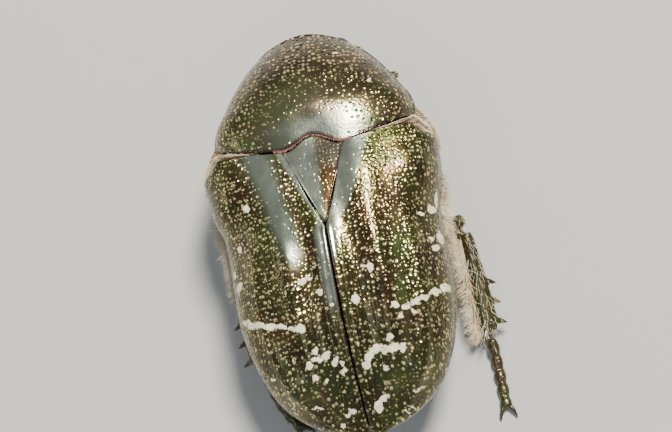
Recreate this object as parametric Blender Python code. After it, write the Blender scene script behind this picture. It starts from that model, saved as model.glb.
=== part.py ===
# Rose chafer, a still life-size model: the head looks toward -Y, the beetle's right side is -X, the floor is z = 0.
# Every size below is in millimetres of the real animal; MM turns it into metres as a mesh is made.
import math

import bmesh
import bpy
import numpy as np
from mathutils import Matrix, Vector

MM = 0.001
GAP = 0.3
# Points closer than this are joined after a union; the next value is tried where the first one opens the body
SEAM_WELDS = (0.012, 0.004, 0.001)

# Wing covers: the side margin from shoulder to apex as (half width, length position, height)
ELYTRON_MARGIN = (
    (4.68, -2.32, 5.85), (5.09, -1.75, 5.35), (4.98, -0.60, 4.88), (4.68, 0.70, 4.62), (4.68, 2.40, 4.42),
    (4.68, 4.00, 4.33), (4.47, 5.40, 4.28), (4.05, 6.80, 4.20), (3.35, 8.00, 4.12), (2.45, 8.85, 4.02),
    (1.45, 9.37, 3.94), (0.60, 9.60, 3.90),
)
ELYTRON_BASE_Y = -2.10
ELYTRON_APEX_Y = 9.60
# Height of the back along the seam of the wing covers, as (length position, height)
SEAM_HEIGHT = ((-2.6, 7.45), (-0.6, 7.78), (2.2, 7.86), (4.6, 7.48), (6.6, 6.62), (8.2, 5.45), (9.1, 4.60), (9.6, 4.08))
ELYTRON_THICK = 0.60
ELYTRON_ROWS = 24
ELYTRON_COLUMNS = 11
# How square the cross section of the wing covers is, sideways and upward
SIDE_POWER = 0.85
TOP_POWER = 0.72

# Scutellum, the triangle between the wing cover bases
SCUTELLUM_HALF = 1.48
SCUTELLUM_TIP_Y = 1.10
SCUTELLUM_THICK = 0.55

# Pronotum: side margin from hind angle to front angle, as (half width, length position, height)
PRONOTUM_MARGIN = (
    (4.18, -3.24, 5.36), (4.37, -3.62, 5.22), (4.26, -4.25, 5.05), (3.85, -5.00, 4.85), (3.38, -5.80, 4.70),
    (2.86, -6.52, 4.62), (2.12, -7.28, 4.62),
)
# Pronotum midline from hind edge to front edge, as (length position, height)
PRONOTUM_MIDLINE = ((-2.86, 7.55), (-4.00, 7.62), (-5.20, 7.25), (-6.30, 6.62), (-7.30, 5.76), (-8.05, 4.95))
PRONOTUM_LIP = 0.25
PRONOTUM_CENTRE_Y = -5.0
PRONOTUM_ROWS = 12
PRONOTUM_COLUMNS = 18
HIND_LOBE = 0.52
HIND_LOBE_AT = 0.32

# Mesepimeron, the wedge before the shoulder: its outer line as (half width, height), then the length positions of
# its front and back edges at even steps along that line
WEDGE_CONTOUR = ((3.78, 6.88), (4.15, 6.56), (4.55, 6.08), (4.93, 5.50), (5.12, 4.95), (5.10, 4.40), (4.95, 3.85))
WEDGE_FRONT = (-2.76, -2.90, -2.98, -3.08, -3.55, -3.66, -3.55)
WEDGE_BACK = (-2.63, -2.66, -2.68, -2.48, -2.18, -2.00, -1.78)
WEDGE_THICK = 0.50
WEDGE_SWELL = 0.12

# Underside of the body: the lowest line of thorax and abdomen, as (length position, height)
BELLY = ((-3.2, 2.05), (-1.8, 1.45), (0.4, 1.15), (2.4, 1.15), (4.5, 1.25), (6.4, 1.70), (7.8, 2.25))
CORE_DEPTH = 1.00
# How far the lower body narrows toward the belly: 1 is round, 2 is a straight keel
BELLY_POWER = 1.25
STERNITE_EDGES = (3.4, 4.5, 5.6, 6.6, 7.5)
# Sections of the front body and of the front of the middle body: length position, half width, top, side and bottom
PROTHORAX_RINGS = (
    (-6.20, 2.35, 4.08, 3.60, 2.92), (-5.60, 2.95, 4.15, 3.60, 2.40), (-4.80, 3.45, 4.25, 3.60, 2.00),
    (-4.00, 3.80, 4.45, 3.70, 1.95), (-3.42, 3.85, 4.55, 3.75, 2.15),
)
THORAX_FRONT_RINGS = (
    (-3.08, 3.70, 4.40, 3.60, 2.10), (-2.55, 4.00, 4.45, 3.60, 1.75), (-2.02, 4.25, 4.50, 3.70, 1.55),
)
THORAX_STATIONS = (-1.40, -0.80, 0.00, 0.80, 1.60, 2.30)
ABDOMEN_FRONT = 2.62
ABDOMEN_END = 7.80
STERNITE_STEP = 0.10
# Sockets of the legs and the breast knob, as (centre, radii) of the left or middle one
FORE_COXA = ((0.72, -4.95, 1.75), (0.48, 0.52, 0.62))
MIDDLE_COXA = ((0.98, -1.30, 1.35), (0.45, 0.52, 0.50))
HIND_COXA = ((0.98, 1.72, 1.22), (0.50, 0.42, 0.42))
BREAST_KNOB = ((0.0, -2.30, 1.45), (0.42, 0.55, 0.42))

# Pygidium, the end plate below the apex of the wing covers
PYGIDIUM_TOP = 3.70
PYGIDIUM_DROP = 1.40
PYGIDIUM_Y = 9.05
PYGIDIUM_FRONT_Y = 8.10
PYGIDIUM_TOP_HALF = 2.80
PYGIDIUM_TIP_HALF = 0.45
PYGIDIUM_BULGE = 0.30

# Head: its own axis runs from the neck down and forward to the clypeus edge, tilted from the vertical
HEAD_NECK = Vector((0.0, -7.10, 3.90))
HEAD_TILT = math.radians(18.0)
# Head sections as (distance from the neck, half width, height above the axis, depth below it)
HEAD_SECTIONS = (
    (0.00, 1.20, 0.45, 0.55), (0.12, 1.46, 0.62, 0.70), (0.55, 1.60, 0.72, 0.80), (1.00, 1.50, 0.66, 0.78),
    (1.35, 1.36, 0.52, 0.68), (1.80, 1.46, 0.40, 0.48), (2.10, 1.46, 0.38, 0.34), (2.26, 1.38, 0.36, 0.26),
)
# Antenna in head places: its stem, then the root and length of its club of three leaves
ANTENNA_STEM = ((1.95, 1.05, -0.10), (2.03, 1.36, -0.08), (2.06, 1.68, -0.04))
CLUB_ROOT = (2.08, 2.20, 0.00)
CLUB_LENGTH = 0.95
CLUB_LEAVES = 3
CLUB_FAN = 0.20
LEAF_PITCH = 0.12
# Chin plate behind the clypeus as (distance from the neck, half width, half thickness), its place and lean
CHIN_SECTIONS = ((1.25, 0.50, 0.14), (1.38, 0.74, 0.22), (1.75, 0.82, 0.26), (2.05, 0.66, 0.24), (2.20, 0.40, 0.14))
CHIN_OUT = -1.28
CHIN_SLOPE = 0.42
PALP = ((0.42, 1.75, -1.02), (0.62, 2.15, -1.08), (0.50, 2.55, -0.96))
EYE_AT = (1.46, 0.55, 0.05)
EYE_RADII = (0.52, 0.50, 0.58)

MATERIALS = {
    "shell": ((0.110, 0.115, 0.040), 0.28, 0.85),
    "thorax": ((0.090, 0.070, 0.040), 0.35, 0.75),
    "belly": ((0.075, 0.060, 0.045), 0.32, 0.70),
    "cream": ((0.620, 0.560, 0.430), 0.80, 0.00),
    "leg": ((0.070, 0.055, 0.040), 0.34, 0.65),
    "eye": ((0.015, 0.012, 0.010), 0.12, 0.00),
    "feeler": ((0.120, 0.060, 0.030), 0.45, 0.10),
}


def curve(table, position):
    # Smooth value at a position along a table whose first number rises, by cubic pieces that don't overshoot
    rows = np.array(table, dtype=float)
    knots = rows[:, 0]
    values = rows[:, 1:]
    steps = np.diff(knots)
    slopes = np.diff(values, axis=0) / steps[:, None]
    tangents = np.zeros_like(values)
    tangents[0] = slopes[0]
    tangents[-1] = slopes[-1]
    product = slopes[:-1] * slopes[1:]
    weight = slopes[:-1] + slopes[1:]
    safe = np.where(np.abs(weight) < 1e-9, 1.0, weight)
    tangents[1:-1] = np.where(product > 0.0, 2.0 * product / safe, 0.0)
    place = min(max(position, knots[0]), knots[-1])
    index = min(int(np.searchsorted(knots, place, side="right")) - 1, len(steps) - 1)
    t = (place - knots[index]) / steps[index]
    step = steps[index]
    start = (2 * t ** 3 - 3 * t ** 2 + 1) * values[index] + (t ** 3 - 2 * t ** 2 + t) * step * tangents[index]
    end = (3 * t ** 2 - 2 * t ** 3) * values[index + 1] + (t ** 3 - t ** 2) * step * tangents[index + 1]
    return start + end


def along(points, fraction):
    # Smooth point at a fraction of the way along a line of points
    rows = np.array(points, dtype=float)
    lengths = np.concatenate(([0.0], np.cumsum(np.linalg.norm(np.diff(rows, axis=0), axis=1))))
    table = np.column_stack((lengths / lengths[-1], rows))
    return curve(table, fraction)


def bump(distance, width):
    return math.exp(-(distance / width) ** 2)


def makeMaterial(name, kind):
    colour, roughness, metallic = MATERIALS[kind]
    material = bpy.data.materials.new(name)
    material.use_nodes = True
    shader = material.node_tree.nodes["Principled BSDF"]
    shader.inputs["Base Color"].default_value = (*colour, 1.0)
    shader.inputs["Roughness"].default_value = roughness
    shader.inputs["Metallic"].default_value = metallic
    material.diffuse_color = (*colour, 1.0)
    return material


def makeObject(name, kind, points, faces, parent=None):
    # One closed mesh from points in millimetres, with its faces turned outward
    mesh = bpy.data.meshes.new(name)
    mesh.from_pydata([Vector(point) * MM for point in points], [], faces)
    work = bmesh.new()
    work.from_mesh(mesh)
    bmesh.ops.triangulate(work, faces=work.faces)
    bmesh.ops.recalc_face_normals(work, faces=work.faces)
    if work.calc_volume(signed=True) < 0.0:
        bmesh.ops.reverse_faces(work, faces=work.faces)
    work.to_mesh(mesh)
    work.free()
    mesh.materials.append(makeMaterial(name, kind))
    mesh.shade_smooth()
    mesh.set_sharp_from_angle(angle=math.radians(40.0))
    thing = bpy.data.objects.new(name, mesh)
    bpy.context.collection.objects.link(thing)
    thing.parent = parent
    return thing


def plateMesh(outer, inner):
    # Closed plate between two grids of points, split into triangles alike on both faces
    rows = len(outer)
    columns = len(outer[0])
    points = [point for row in outer for point in row] + [point for row in inner for point in row]
    under = rows * columns
    faces = []
    for row in range(rows - 1):
        for column in range(columns - 1):
            a = row * columns + column
            b = a + 1
            c = a + columns + 1
            d = a + columns
            faces += [(a, b, c), (a, c, d), (under + a, under + c, under + b), (under + a, under + d, under + c)]
    border = [column for column in range(columns)]
    border += [row * columns + columns - 1 for row in range(1, rows)]
    border += [(rows - 1) * columns + column for column in range(columns - 2, -1, -1)]
    border += [row * columns for row in range(rows - 2, 0, -1)]
    for index, first in enumerate(border):
        second = border[(index + 1) % len(border)]
        faces.append((first, under + first, under + second, second))
    return points, faces


def loftMesh(rings):
    # Closed body through rings with the same number of points, with flat ends
    sides = len(rings[0])
    points = [point for ring in rings for point in ring]
    faces = []
    for row in range(len(rings) - 1):
        for side in range(sides):
            a = row * sides + side
            b = row * sides + (side + 1) % sides
            faces.append((a, b, b + sides, a + sides))
    faces.append(tuple(range(sides)))
    last = (len(rings) - 1) * sides
    faces.append(tuple(reversed(range(last, last + sides))))
    return points, faces


def limbRings(path, sections, flat, sides):
    # Rings along a bent line; each section is (fraction, half width along flat, half thickness across it)
    rings = []
    for fraction, width, thick in sections:
        centre = Vector(along(path, fraction))
        ahead = Vector(along(path, min(fraction + 0.02, 1.0))) - Vector(along(path, max(fraction - 0.02, 0.0)))
        ahead.normalize()
        across = (flat - ahead * flat.dot(ahead)).normalized()
        other = ahead.cross(across)
        ring = []
        for side in range(sides):
            angle = 2.0 * math.pi * (side + 0.5) / sides
            ring.append(centre + across * (width * math.cos(angle)) + other * (thick * math.sin(angle)))
        rings.append(ring)
    return rings


def spikeRings(root, tip, radius, bend, sides=6):
    # A tapered, bent spike that starts at root, with a blunt point
    middle = (root + tip) * 0.5 + bend
    path = (root, middle, tip)
    sections = ((0.0, radius, radius), (0.35, radius * 0.85, radius * 0.85), (0.75, radius * 0.5, radius * 0.5),
                (1.0, radius * 0.16, radius * 0.16))
    direction = (tip - root).normalized()
    flat = direction.orthogonal()
    return limbRings(path, sections, flat, sides)


def fuse(base, pieces):
    # Boolean union of a body with its small pieces, keeping only the largest closed surface
    group = bpy.data.collections.new(base.name + "_pieces")
    bpy.context.scene.collection.children.link(group)
    for piece in pieces:
        for owner in list(piece.users_collection):
            owner.objects.unlink(piece)
        group.objects.link(piece)
    union = base.modifiers.new("union", "BOOLEAN")
    union.operation = "UNION"
    union.operand_type = "COLLECTION"
    union.collection = group
    union.solver = "EXACT"
    bpy.context.view_layer.update()
    solved = bpy.data.meshes.new_from_object(base.evaluated_get(bpy.context.evaluated_depsgraph_get()))
    base.modifiers.clear()
    base.data = solved
    for piece in list(group.objects):
        bpy.data.objects.remove(piece)
    bpy.data.collections.remove(group)
    keepLargest(base)
    while len(base.data.materials) > 1:
        base.data.materials.pop()
    return base


def keepLargest(thing):
    # Drop every closed surface of a mesh but the largest one
    work = bmesh.new()
    work.from_mesh(thing.data)
    bmesh.ops.triangulate(work, faces=work.faces)
    waiting = set(work.faces)
    islands = []
    while waiting:
        seed = waiting.pop()
        island = {seed}
        edge = [seed]
        while edge:
            face = edge.pop()
            for line in face.edges:
                for other in line.link_faces:
                    if other in waiting:
                        waiting.discard(other)
                        island.add(other)
                        edge.append(other)
        islands.append(island)
    islands.sort(key=len, reverse=True)
    for island in islands[1:]:
        bmesh.ops.delete(work, geom=list(island), context="FACES")
    loose = [vert for vert in work.verts if not vert.link_faces]
    bmesh.ops.delete(work, geom=loose, context="VERTS")
    for face in work.faces:
        face.material_index = 0
    for weld in SEAM_WELDS:
        welded = work.copy()
        bmesh.ops.remove_doubles(welded, verts=welded.verts, dist=weld * MM)
        bmesh.ops.dissolve_degenerate(welded, edges=welded.edges, dist=weld * MM)
        bmesh.ops.triangulate(welded, faces=welded.faces)
        closed = all(len(edge.link_faces) == 2 for edge in welded.edges)
        welded.to_mesh(thing.data)
        welded.free()
        if closed:
            break
    work.free()


def scutellumHalf(y):
    # Half width of the scutellum at a length position, below zero past its tip
    start = ELYTRON_BASE_Y - 0.4
    return SCUTELLUM_HALF * (SCUTELLUM_TIP_Y - y) / (SCUTELLUM_TIP_Y - start)


def seamEdge(y):
    # Inner edge of a wing cover: beside the scutellum, then along the seam
    return max(GAP / 2, scutellumHalf(y) + GAP * 1.07)


def baseEdge(x):
    # Front edge of a wing cover: along the pronotum, then back from it toward the shoulder
    half, corner, _ = ELYTRON_MARGIN[0]
    recess = corner - hindEdge(half) - GAP
    return hindEdge(x) + GAP + recess * min(x / half, 1.0) ** 4


def wingRelief(x, y, half):
    # Raised and sunken forms of a wing cover in millimetres: ridges, shoulder and apical swellings, side hollow
    share = x / max(half, 0.5)
    rear = 1.0 / (1.0 + math.exp(-(y - 1.6) * 1.6))
    tail = 1.0 / (1.0 + math.exp((y - 8.2) * 2.4))
    ridge = 0.10 * bump(x - 0.42, 0.30) * rear
    ridge += 0.13 * bump(share - 0.42, 0.075) * tail * rear
    ridge += 0.10 * bump(share - 0.74, 0.060) * tail * rear
    ridge -= 0.12 * bump(share - 0.20, 0.100) * tail * rear
    shoulder = 0.16 * bump(x - 4.15, 0.70) * bump(y + 0.75, 0.95)
    apical = 0.26 * bump(x - 2.55, 0.80) * bump(y - 7.35, 0.70)
    hollow = -0.08 * bump(share - 0.86, 0.14) * bump(y - 1.3, 1.3)
    return ridge + shoulder + apical + hollow


def wingSurface(u, v, depth):
    # Point of a wing cover without its relief; a depth draws it in from the side, the top and the apex alike
    u = u * (1.0 - 0.075 * depth)
    margin = along(ELYTRON_MARGIN, u)
    base = ELYTRON_BASE_Y + (ELYTRON_APEX_Y - ELYTRON_BASE_Y) * u
    seamY = base + (margin[1] - base) * min(1.0, u * 4.0)
    inner = seamEdge(seamY)
    half = max(margin[0] - depth, inner + 0.12)
    angle = v * math.pi / 2
    x = inner + (half - inner) * math.sin(angle) ** SIDE_POWER
    y = seamY + (margin[1] - seamY) * v ** 3
    y += (baseEdge(x) + 0.3 * depth - y) * max(0.0, 1.0 - 5.0 * u) ** 2
    top = max(float(curve(SEAM_HEIGHT, y)[0]) - depth, margin[2] + 0.05)
    lift = max(math.cos(angle), 0.0) ** TOP_POWER
    return Vector((x, y, margin[2] + (top - margin[2]) * lift)), margin[0]


def wingPoint(u, v):
    # Point of a wing cover's outer surface at two fractions, with its relief along the normal
    step = 0.01
    point, half = wingSurface(u, v, 0.0)
    alongRow = wingSurface(min(u + step, 1.0), v, 0.0)[0] - wingSurface(max(u - step, 0.0), v, 0.0)[0]
    across = wingSurface(u, min(v + step, 1.0), 0.0)[0] - wingSurface(u, max(v - step, 0.0), 0.0)[0]
    normal = across.cross(alongRow).normalized()
    return point + normal * wingRelief(point.x, point.y, half)


def makeElytron(side, name, parent):
    outer = []
    inner = []
    for row in range(ELYTRON_ROWS + 1):
        u = row / ELYTRON_ROWS
        outer.append([])
        inner.append([])
        for column in range(ELYTRON_COLUMNS + 1):
            v = column / ELYTRON_COLUMNS
            top = wingPoint(u, v)
            low = wingSurface(u, v, ELYTRON_THICK)[0]
            outer[-1].append(Vector((side * top.x, top.y, top.z)))
            inner[-1].append(Vector((side * low.x, low.y, low.z)))
    points, faces = plateMesh(outer, inner)
    return makeObject(name, "shell", points, faces, parent)


def makeScutellum(parent):
    rows = 8
    columns = 6
    outer = []
    inner = []
    for row in range(rows + 1):
        share = row / rows
        outer.append([])
        inner.append([])
        for column in range(columns + 1):
            v = 2.0 * column / columns - 1.0
            front = hindEdge(abs(v) * SCUTELLUM_HALF) + GAP
            y = front + (SCUTELLUM_TIP_Y - 0.12 - front) * share
            half = min(max(scutellumHalf(y), 0.10), scutellumHalf(ELYTRON_BASE_Y))
            z = float(curve(SEAM_HEIGHT, y)[0]) - 0.06 * v * v * (1.0 - share)
            outer[-1].append(Vector((v * half, y, z)))
            inner[-1].append(Vector((v * half, y, z - SCUTELLUM_THICK)))
    points, faces = plateMesh(outer, inner)
    return makeObject("scutellum", "shell", points, faces, parent)


def hindEdge(x):
    # Length position of the pronotum's hind edge: notched before the scutellum, with a lobe on each side of it
    half = PRONOTUM_MARGIN[0][0]
    share = min(abs(x) / half, 1.0)
    middle = PRONOTUM_MIDLINE[0][0]
    corner = PRONOTUM_MARGIN[0][1]
    return middle + (corner - middle) * share ** 2.6 + HIND_LOBE * lobeShape(share)


def lobeShape(share):
    near = math.sin(math.pi / 2 * min(share / HIND_LOBE_AT, 1.0)) ** 2
    far = max(0.0, 1.0 - ((share - HIND_LOBE_AT) / (1.0 - HIND_LOBE_AT)) ** 1.3) if share > HIND_LOBE_AT else 1.0
    return near * far


def pronotumPoint(u, v):
    # Point of the pronotum's upper surface: u runs from the hind to the front edge, v from side to side
    margin = along(PRONOTUM_MARGIN, u)
    centre = along(PRONOTUM_MIDLINE, u)
    share = abs(v)
    angle = share * math.pi / 2
    reach = math.sin(angle) ** 0.92
    y = centre[0] + (margin[1] - centre[0]) * reach ** (2.6 - 0.8 * u)
    y += HIND_LOBE * lobeShape(reach) * max(0.0, 1.0 - 3.0 * u)
    z = margin[2] + (centre[1] - margin[2]) * math.cos(angle) ** 0.80
    z += 0.10 * bump(share - 0.97, 0.05)
    return Vector((math.copysign(margin[0] * reach, v), y, z)), margin[2]


def makePronotum(parent):
    outer = []
    inner = []
    for row in range(PRONOTUM_ROWS + 1):
        u = row / PRONOTUM_ROWS
        outer.append([])
        inner.append([])
        for column in range(PRONOTUM_COLUMNS + 1):
            v = 2.0 * column / PRONOTUM_COLUMNS - 1.0
            point, margin = pronotumPoint(u, v)
            outer[-1].append(point)
            tuck = Vector((point.x * 0.98, point.y + 0.012 * (PRONOTUM_CENTRE_Y - point.y), 0.0))
            inner[-1].append(Vector((tuck.x, tuck.y, margin - PRONOTUM_LIP)))
    points, faces = plateMesh(outer, inner)
    return makeObject("pronotum", "shell", points, faces, parent)


def lowerHalf(half, side, bottom, count, power):
    # Points of the lower half of a section, from one side round the belly to the other
    points = []
    for index in range(count + 1):
        angle = math.pi * index / count
        x = math.copysign(half * abs(math.cos(angle)) ** power, math.cos(angle))
        z = side - (side - bottom) * math.sin(angle) ** power
        points.append((x, z))
    return points


def coreRing(u, bottom, ledge):
    # Section of thorax or abdomen: under the wing covers, then out below their edge and round the belly
    upper = [wingSurface(u, v, CORE_DEPTH)[0] for v in (1.0, 0.86, 0.72, 0.56, 0.38, 0.2, 0.0)]
    edge = along(ELYTRON_MARGIN, u)
    ring = list(upper)
    ring += [Vector((-point.x, point.y, point.z)) for point in reversed(upper)]
    tuck = upper[0].x
    out = edge[0] - ledge
    low = edge[2] - GAP
    ring.append(Vector((-tuck, edge[1], low)))
    for x, z in lowerHalf(out, low - 0.35, bottom, 12, BELLY_POWER):
        ring.append(Vector((-x, edge[1], z)))
    ring.append(Vector((tuck, edge[1], low)))
    return ring


def rowAt(y):
    # Fraction along the wing margin that lies at a length position
    low = 0.0
    high = 1.0
    for _ in range(40):
        middle = (low + high) / 2
        if along(ELYTRON_MARGIN, middle)[1] < y:
            low = middle
        else:
            high = middle
    return (low + high) / 2


def flatRing(y, half, top, side, bottom, crown=0.7):
    # Section of the front body: a low rounded top, then round the belly, with the point count of coreRing
    ring = []
    for index in range(14):
        angle = math.pi * (index + 0.5) / 14
        x = math.copysign(half * abs(math.cos(angle)) ** 0.6, math.cos(angle))
        z = side + (top - side) * math.sin(angle) ** crown
        ring.append(Vector((x, y, z)))
    ring.append(Vector((-half, y, side - 0.05)))
    for x, z in lowerHalf(half, side - 0.15, bottom, 12, BELLY_POWER):
        ring.append(Vector((-x, y, z)))
    ring.append(Vector((half, y, side - 0.05)))
    return ring


def makeThorax(parent):
    rings = [flatRing(*sizes) for sizes in THORAX_FRONT_RINGS]
    for y in THORAX_STATIONS:
        ledge = 0.45 + 0.60 * bump(y + 1.6, 0.9) - 0.78 * bump(y - 1.2, 1.3)
        rings.append(coreRing(rowAt(y), float(curve(BELLY, y)[0]), ledge))
    points, faces = loftMesh(rings)
    body = makeObject("thorax", "belly", points, faces, parent)
    pieces = [ball("breast_knob", Vector(BREAST_KNOB[0]), BREAST_KNOB[1], 10, 7)]
    pieces += coxae(MIDDLE_COXA) + coxae(HIND_COXA)
    return fuse(body, pieces)


def coxae(place):
    # Right and left socket of a pair of legs
    (x, y, z), radii = place
    return [ball("coxa", Vector((side * x, y, z)), radii, 10, 7) for side in (-1, 1)]


def makeAbdomen(parent):
    rings = []
    stations = [ABDOMEN_FRONT]
    for edge in STERNITE_EDGES:
        stations += [edge, edge + 0.12]
    stations.append(ABDOMEN_END)
    for index, y in enumerate(stations):
        step = STERNITE_STEP if index % 2 == 0 and index > 0 else 0.0
        ledge = 0.42 + step - 0.30 * bump(y - 2.4, 1.0)
        rings.append(coreRing(rowAt(y), float(curve(BELLY, y)[0]) + step, ledge))
    points, faces = loftMesh(rings)
    return makeObject("abdomen", "belly", points, faces, parent)


def makePygidium(parent):
    rows = 7
    columns = 8
    outer = []
    inner = []
    for row in range(rows + 1):
        share = row / rows
        half = PYGIDIUM_TIP_HALF + (PYGIDIUM_TOP_HALF - PYGIDIUM_TIP_HALF) * (1.0 - share ** 2.2)
        outer.append([])
        inner.append([])
        for column in range(columns + 1):
            v = 2.0 * column / columns - 1.0
            z = PYGIDIUM_TOP - PYGIDIUM_DROP * share
            bulge = PYGIDIUM_BULGE * math.sin(math.pi * min(share * 0.8 + 0.2, 1.0)) * (1.0 - v * v)
            y = PYGIDIUM_Y - 0.45 * v * v - 0.35 * share + bulge
            outer[-1].append(Vector((v * half, y, z)))
            inner[-1].append(Vector((v * half * 0.96, PYGIDIUM_FRONT_Y, z)))
    points, faces = plateMesh(outer, inner)
    return makeObject("pygidium", "shell", points, faces, parent)


def makeMesepimeron(side, name, parent):
    # Wedge between the pronotum's hind angle and the shoulder, which turns down the side of the body
    rows = 10
    columns = 4
    outer = []
    inner = []
    for row in range(rows + 1):
        share = row / rows
        x, z = along(WEDGE_CONTOUR, share)
        ahead = along(WEDGE_CONTOUR, min(share + 0.02, 1.0)) - along(WEDGE_CONTOUR, max(share - 0.02, 0.0))
        normal = Vector((-ahead[1], 0.0, ahead[0])).normalized()
        start = float(curve(tuple(enumerate(WEDGE_FRONT)), share * (len(WEDGE_FRONT) - 1))[0])
        end = float(curve(tuple(enumerate(WEDGE_BACK)), share * (len(WEDGE_BACK) - 1))[0])
        outer.append([])
        inner.append([])
        for column in range(columns + 1):
            v = column / columns
            lift = WEDGE_SWELL * math.sin(math.pi * v) * share
            top = Vector((x, start + (end - start) * v, z)) + normal * lift
            low = top - normal * (WEDGE_THICK + lift)
            outer[-1].append(Vector((side * top.x, top.y, top.z)))
            inner[-1].append(Vector((side * low.x, low.y, low.z)))
    points, faces = plateMesh(outer, inner)
    return makeObject(name, "cream", points, faces, parent)


def makeProthorax(parent):
    points, faces = loftMesh([flatRing(*sizes) for sizes in PROTHORAX_RINGS])
    body = makeObject("prothorax", "belly", points, faces, parent)
    return fuse(body, coxae(FORE_COXA))


def ball(name, centre, radii, segments, rings, turn=None):
    # Closed ellipsoid in millimetres, turned by a rotation matrix where one is given
    mesh = bpy.data.meshes.new(name)
    work = bmesh.new()
    bmesh.ops.create_uvsphere(work, u_segments=segments, v_segments=rings, radius=1.0)
    turned = turn.to_4x4() if turn else Matrix.Identity(4)
    place = Matrix.Translation(centre * MM) @ turned @ Matrix.Diagonal((*[r * MM for r in radii], 1.0))
    bmesh.ops.transform(work, matrix=place, verts=work.verts)
    work.to_mesh(mesh)
    work.free()
    thing = bpy.data.objects.new(name, mesh)
    bpy.context.collection.objects.link(thing)
    return thing


def piece(name, rings):
    # Unnamed helper body for a union
    return makeObject(name, "leg", *loftMesh(rings))


def headTurn():
    # Head axes: X across, Y up toward the crown, Z out of the forehead
    crown = Vector((0.0, math.sin(HEAD_TILT), math.cos(HEAD_TILT)))
    across = Vector((1.0, 0.0, 0.0))
    forehead = across.cross(crown)
    return Matrix((across, crown, forehead)).transposed()


def headPlace(across, down, out):
    return HEAD_NECK + headTurn() @ Vector((across, -down, out))


def makeHead(parent):
    rings = []
    for down, half, top, bottom in HEAD_SECTIONS:
        ring = []
        for index in range(20):
            angle = 2.0 * math.pi * (index + 0.5) / 20
            x = math.copysign(half * abs(math.cos(angle)) ** 0.55, math.cos(angle))
            height = top if math.sin(angle) > 0 else bottom
            out = math.copysign(height * abs(math.sin(angle)) ** 0.75, math.sin(angle))
            rim = 0.14 * bump(down - 2.20, 0.12) if math.sin(angle) > 0 else 0.0
            dish = 0.14 * bump(down - 1.75, 0.28) * math.sin(angle) if math.sin(angle) > 0 else 0.0
            notch = 0.12 * bump(x, 0.4) * bump(down - 2.26, 0.1)
            ring.append(headPlace(x, down - notch, out + rim - dish))
        rings.append(ring)
    points, faces = loftMesh(rings)
    return makeObject("head", "thorax", points, faces, parent)


def cutSockets(head):
    # Hollow for each eye, a gap wider than the eye all round
    for side in (-1, 1):
        radii = [radius + GAP for radius in EYE_RADII]
        centre = headPlace(side * EYE_AT[0], EYE_AT[1], EYE_AT[2])
        cutter = ball("socket_cutter", centre, radii, 14, 9, headTurn())
        cut = head.modifiers.new("socket", "BOOLEAN")
        cut.operation = "DIFFERENCE"
        cut.object = cutter
        cut.solver = "EXACT"
        cutter.parent = head.parent
        bpy.context.view_layer.update()
        solved = bpy.data.meshes.new_from_object(head.evaluated_get(bpy.context.evaluated_depsgraph_get()))
        head.modifiers.clear()
        head.data = solved
        bpy.data.objects.remove(cutter)
    keepLargest(head)
    return head


def makeEye(side, name, parent):
    centre = headPlace(side * EYE_AT[0], EYE_AT[1], EYE_AT[2])
    eye = ball(name, centre, EYE_RADII, 14, 9, headTurn())
    eye.data.materials.append(makeMaterial(name, "eye"))
    eye.data.shade_smooth()
    eye.parent = parent
    return eye


def makeAntenna(side, parent):
    # Stem of short joints from before the eye, then a club of three leaves fanned from one root
    label = "left" if side > 0 else "right"
    path = [headPlace(side * x, down, out) for x, down, out in ANTENNA_STEM]
    sections = []
    for index in range(5):
        swell = 0.27 if index % 2 == 0 else 0.24
        sections.append((index / 4, swell, swell))
    stem = makeObject("antenna_stem_" + label, "feeler", *loftMesh(limbRings(path, sections, Vector((0, 1, 0)), 8)), parent)
    root = headPlace(side * CLUB_ROOT[0], CLUB_ROOT[1], CLUB_ROOT[2])
    down = (headTurn() @ Vector((side * -0.10, -0.72, -0.35))).normalized()
    spread = (headTurn() @ Vector((0.0, -0.42, 0.90))).normalized()
    leaves = []
    for index in range(CLUB_LEAVES):
        heading = (down + spread * (index - 1) * CLUB_FAN).normalized()
        start = root + spread * (index - 1) * LEAF_PITCH
        leafPath = (start, start + heading * CLUB_LENGTH / 2, start + heading * CLUB_LENGTH)
        leafSections = ((0.0, 0.18, 0.15), (0.25, 0.26, 0.17), (0.6, 0.31, 0.17), (0.9, 0.25, 0.15), (1.0, 0.13, 0.10))
        flat = side * Vector((1.0, 0.0, 0.0))
        leaves.append(makeObject("leaf", "feeler", *loftMesh(limbRings(leafPath, leafSections, flat, 8)), None))
    knob = ball("club_root", root, (0.25, 0.25, 0.24), 8, 6)
    club = leaves[1]
    club.name = "antenna_club_" + label
    club.data.name = club.name
    fuse(club, [leaves[0], leaves[2], knob])
    club.parent = parent
    return stem, club


def makeMouthparts(parent):
    # Chin plate behind the clypeus with a pair of palps that hang from it
    rings = []
    for down, half, thick in CHIN_SECTIONS:
        ring = []
        for index in range(12):
            angle = 2.0 * math.pi * (index + 0.5) / 12
            out = CHIN_OUT + CHIN_SLOPE * (down - CHIN_SECTIONS[0][0])
            ring.append(headPlace(half * math.cos(angle), down, out + thick * math.sin(angle)))
        rings.append(ring)
    body = makeObject("mouthparts", "thorax", *loftMesh(rings), parent)
    palps = []
    for side in (-1, 1):
        path = [headPlace(side * x, down, out) for x, down, out in PALP]
        sections = ((0.0, 0.20, 0.20), (0.3, 0.25, 0.25), (0.5, 0.20, 0.20), (0.8, 0.25, 0.25), (1.0, 0.12, 0.12))
        palps.append(piece("palp", limbRings(path, sections, Vector((0, 1, 0)), 7)))
    return fuse(body, palps)


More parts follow.
